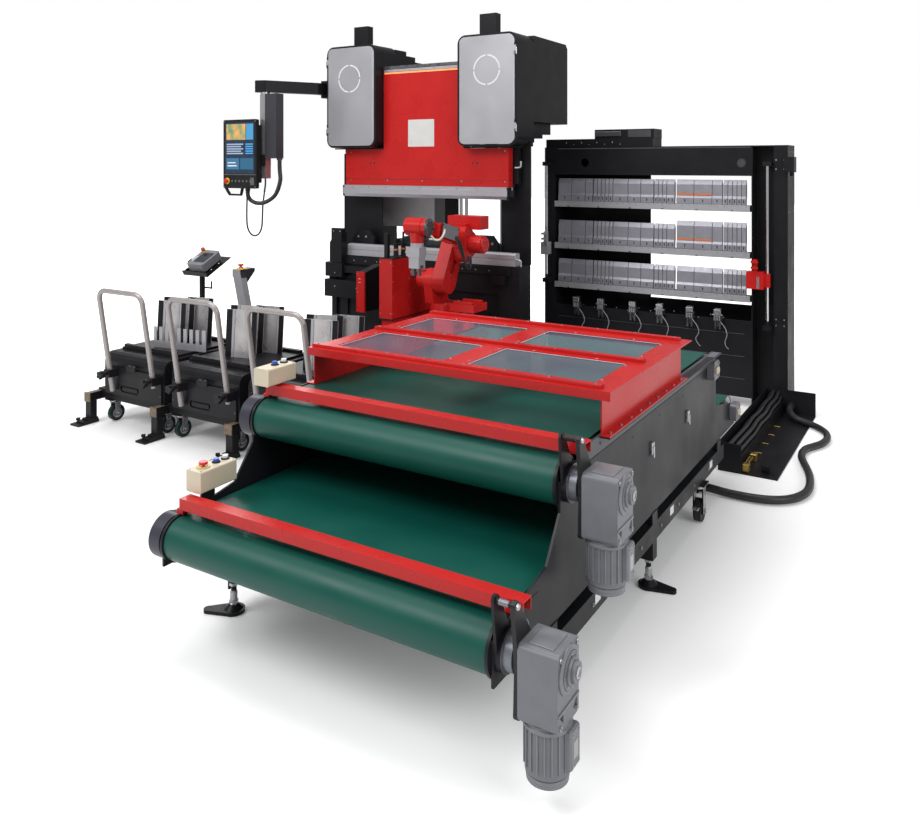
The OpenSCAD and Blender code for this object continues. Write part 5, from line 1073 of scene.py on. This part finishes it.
# %% Gripper stand and tray
strips, rings, screws, posts = (bmesh.new() for _ in range(4))
bar(strips, (100, -636.8, 1019), (201, -437.2, 1025.8), 1)
bar(strips, (100, -437.9, 888), (201, -163.4, 894.8), 1)
bar(strips, (100.2, -636.9, 640), (200.8, -163.2, 648), 1)
for y in (-560, -480):
    turned(rings, (175, y, 1070), "z", [(15.4, 0), (18, 0), (18, 10), (15.4, 10), (15.4, 0)], 24)
    turned(posts, (175, y, 1025), "z", [(17.2, 0), (19, 0), (19, 6), (17.2, 8)], 24)
    turned(posts, (175, y, 1088), "z", [(14.2, 0), (15.6, 3), (15.6, 24), (9, 27), (9, 50), (7.1, 52)], 24)
for z in (680, 780, 880, 980):
    for y in (-624, -450):
        screw(screws, (200, y, z), "x", 3.6, 2)
for z in (680, 860):
    screw(screws, (200, -180, z), "x", 3.6, 2)
for x in (110, 190):
    for z in (680, 1000):
        screw(screws, (x, -636, z), "-y", 3.6, 2)
for z in (612, 735, 858):
    screw(screws, (-326, -312, z), "-y", 3, 2)
finish_piece("stand_strips", strips, black_plastic, "cell")
finish_piece("post_orange_rings", rings, orange, "cell")
finish_piece("gripper_posts_black", posts, black_paint, "cell")
finish_piece("gripper_stand_screws", screws, zinc, "cell")
ticks = bmesh.new()
for z in (800, 824):
    bar(ticks, (-318, -312.6, z), (-300, -312.0, z + 3), 0.2)
finish_piece("cover_ticks", ticks, white_mark, "cell")

# %% [markdown]
# ## Hoses in the trough
# The floor trough is full of cables. They rise and sink a little over each other, so each gets its
# own heights, and they all end in the changer's front plate.

# %% Trough hoses
for i, (x, r, lift) in enumerate(((2160, 15, 0), (2196, 13, 2), (2222, 10, 0), (2178, 11, 30),
                                  (2208, 10, 26))):
    lying = [(0, 862, 92), (0, 840, 92), (2, 760, 80), (-4, 600, 77.5), (5, 420, 77.5), (-3, 240, 77.5),
             (4, 60, 77.5), (0, -120, 77.5), (-2, -260, 77.5), (0, -340, 78), (0, -373, 78)]
    points = [(x + dx, y, z + r + lift) for dx, y, z in lying]
    run, length = cable("trough_hose_%d" % i, points, r, rubber_hose, "cell")
print("five hoses in the trough")

# %% [markdown]
# ## Floor and light
# A pale floor with soft lamps shows the shapes and keeps the machine's shadow. The sky is plain
# white for the camera, and softer for the light that it gives.

# %% Studio
floor_mesh = bmesh.new()
bmesh.ops.create_grid(floor_mesh, x_segments=1, y_segments=1, size=30)
bmesh.ops.translate(floor_mesh, vec=(0, 0, -0.0015), verts=floor_mesh.verts)
floor_data = bpy.data.meshes.new("studio_floor")
floor_mesh.to_mesh(floor_data)
floor = bpy.data.objects.new("studio_floor", floor_data)
bpy.context.collection.objects.link(floor)
floor_paint, tree, shader, place = new_finish("floor_paint")
shader.inputs["Base Color"].default_value = (0.9, 0.9, 0.9, 1)
shader.inputs["Roughness"].default_value = 0.6
# far from the machine the floor glows towards white for the camera, so it meets the white sky
centre = tree.nodes.new("ShaderNodeVectorMath")
centre.operation = "DISTANCE"
centre.inputs[1].default_value = (0.5, -1.0, 0)
tree.links.new(place, centre.inputs[0])
fade = tree.nodes.new("ShaderNodeMapRange")
fade.inputs["From Min"].default_value, fade.inputs["From Max"].default_value = 1.8, 5.0
fade.inputs["To Min"].default_value, fade.inputs["To Max"].default_value = 0.10, 1.0
tree.links.new(centre.outputs["Value"], fade.inputs["Value"])
seen = tree.nodes.new("ShaderNodeLightPath")
sight = tree.nodes.new("ShaderNodeMath")
sight.operation = "MAXIMUM"
tree.links.new(seen.outputs["Is Camera Ray"], sight.inputs[0])
tree.links.new(seen.outputs["Is Transmission Ray"], sight.inputs[1])
power = tree.nodes.new("ShaderNodeMath")
power.operation = "MULTIPLY"
tree.links.new(sight.outputs[0], power.inputs[0])
tree.links.new(fade.outputs["Result"], power.inputs[1])
tree.links.new(power.outputs[0], shader.inputs["Emission Strength"])
shader.inputs["Emission Color"].default_value = (1, 1, 1, 1)
floor_data.materials.append(floor_paint)


def soft_lamp(name, place, target, size, power):
    data = bpy.data.lights.new(name, "AREA")
    data.shape, data.size, data.size_y, data.energy = "RECTANGLE", size[0], size[1], power
    lamp = bpy.data.objects.new(name, data)
    lamp.location = place
    lamp.rotation_euler = (Vector(target) - Vector(place)).to_track_quat("-Z", "Y").to_euler()
    bpy.context.collection.objects.link(lamp)


soft_lamp("key_lamp", (-1.5, -6.5, 6.0), (0.6, -0.8, 0.8), (5, 3), 330)
soft_lamp("fill_lamp", (7.5, -3.5, 4.0), (0.8, -0.8, 0.8), (4, 3), 165)
soft_lamp("top_lamp", (0.6, -0.9, 6.5), (0.6, -0.9, 0.0), (5, 5), 230)
soft_lamp("back_lamp", (-5.0, 4.0, 4.5), (0.3, 0.0, 1.2), (4, 3), 160)
sky = bpy.data.worlds.new("sky")
sky.use_nodes = True
sky_tree = sky.node_tree
glow = sky_tree.nodes["Background"]
glow.inputs["Color"].default_value = (1, 1, 1, 1)
rays = sky_tree.nodes.new("ShaderNodeLightPath")
strength = sky_tree.nodes.new("ShaderNodeMapRange")
strength.inputs["To Min"].default_value, strength.inputs["To Max"].default_value = 0.42, 1.0
sky_tree.links.new(rays.outputs["Is Camera Ray"], strength.inputs["Value"])
sky_tree.links.new(strength.outputs["Result"], glow.inputs["Strength"])
bpy.context.scene.world = sky
bpy.context.scene.view_settings.view_transform = "Standard"
print("studio ready")
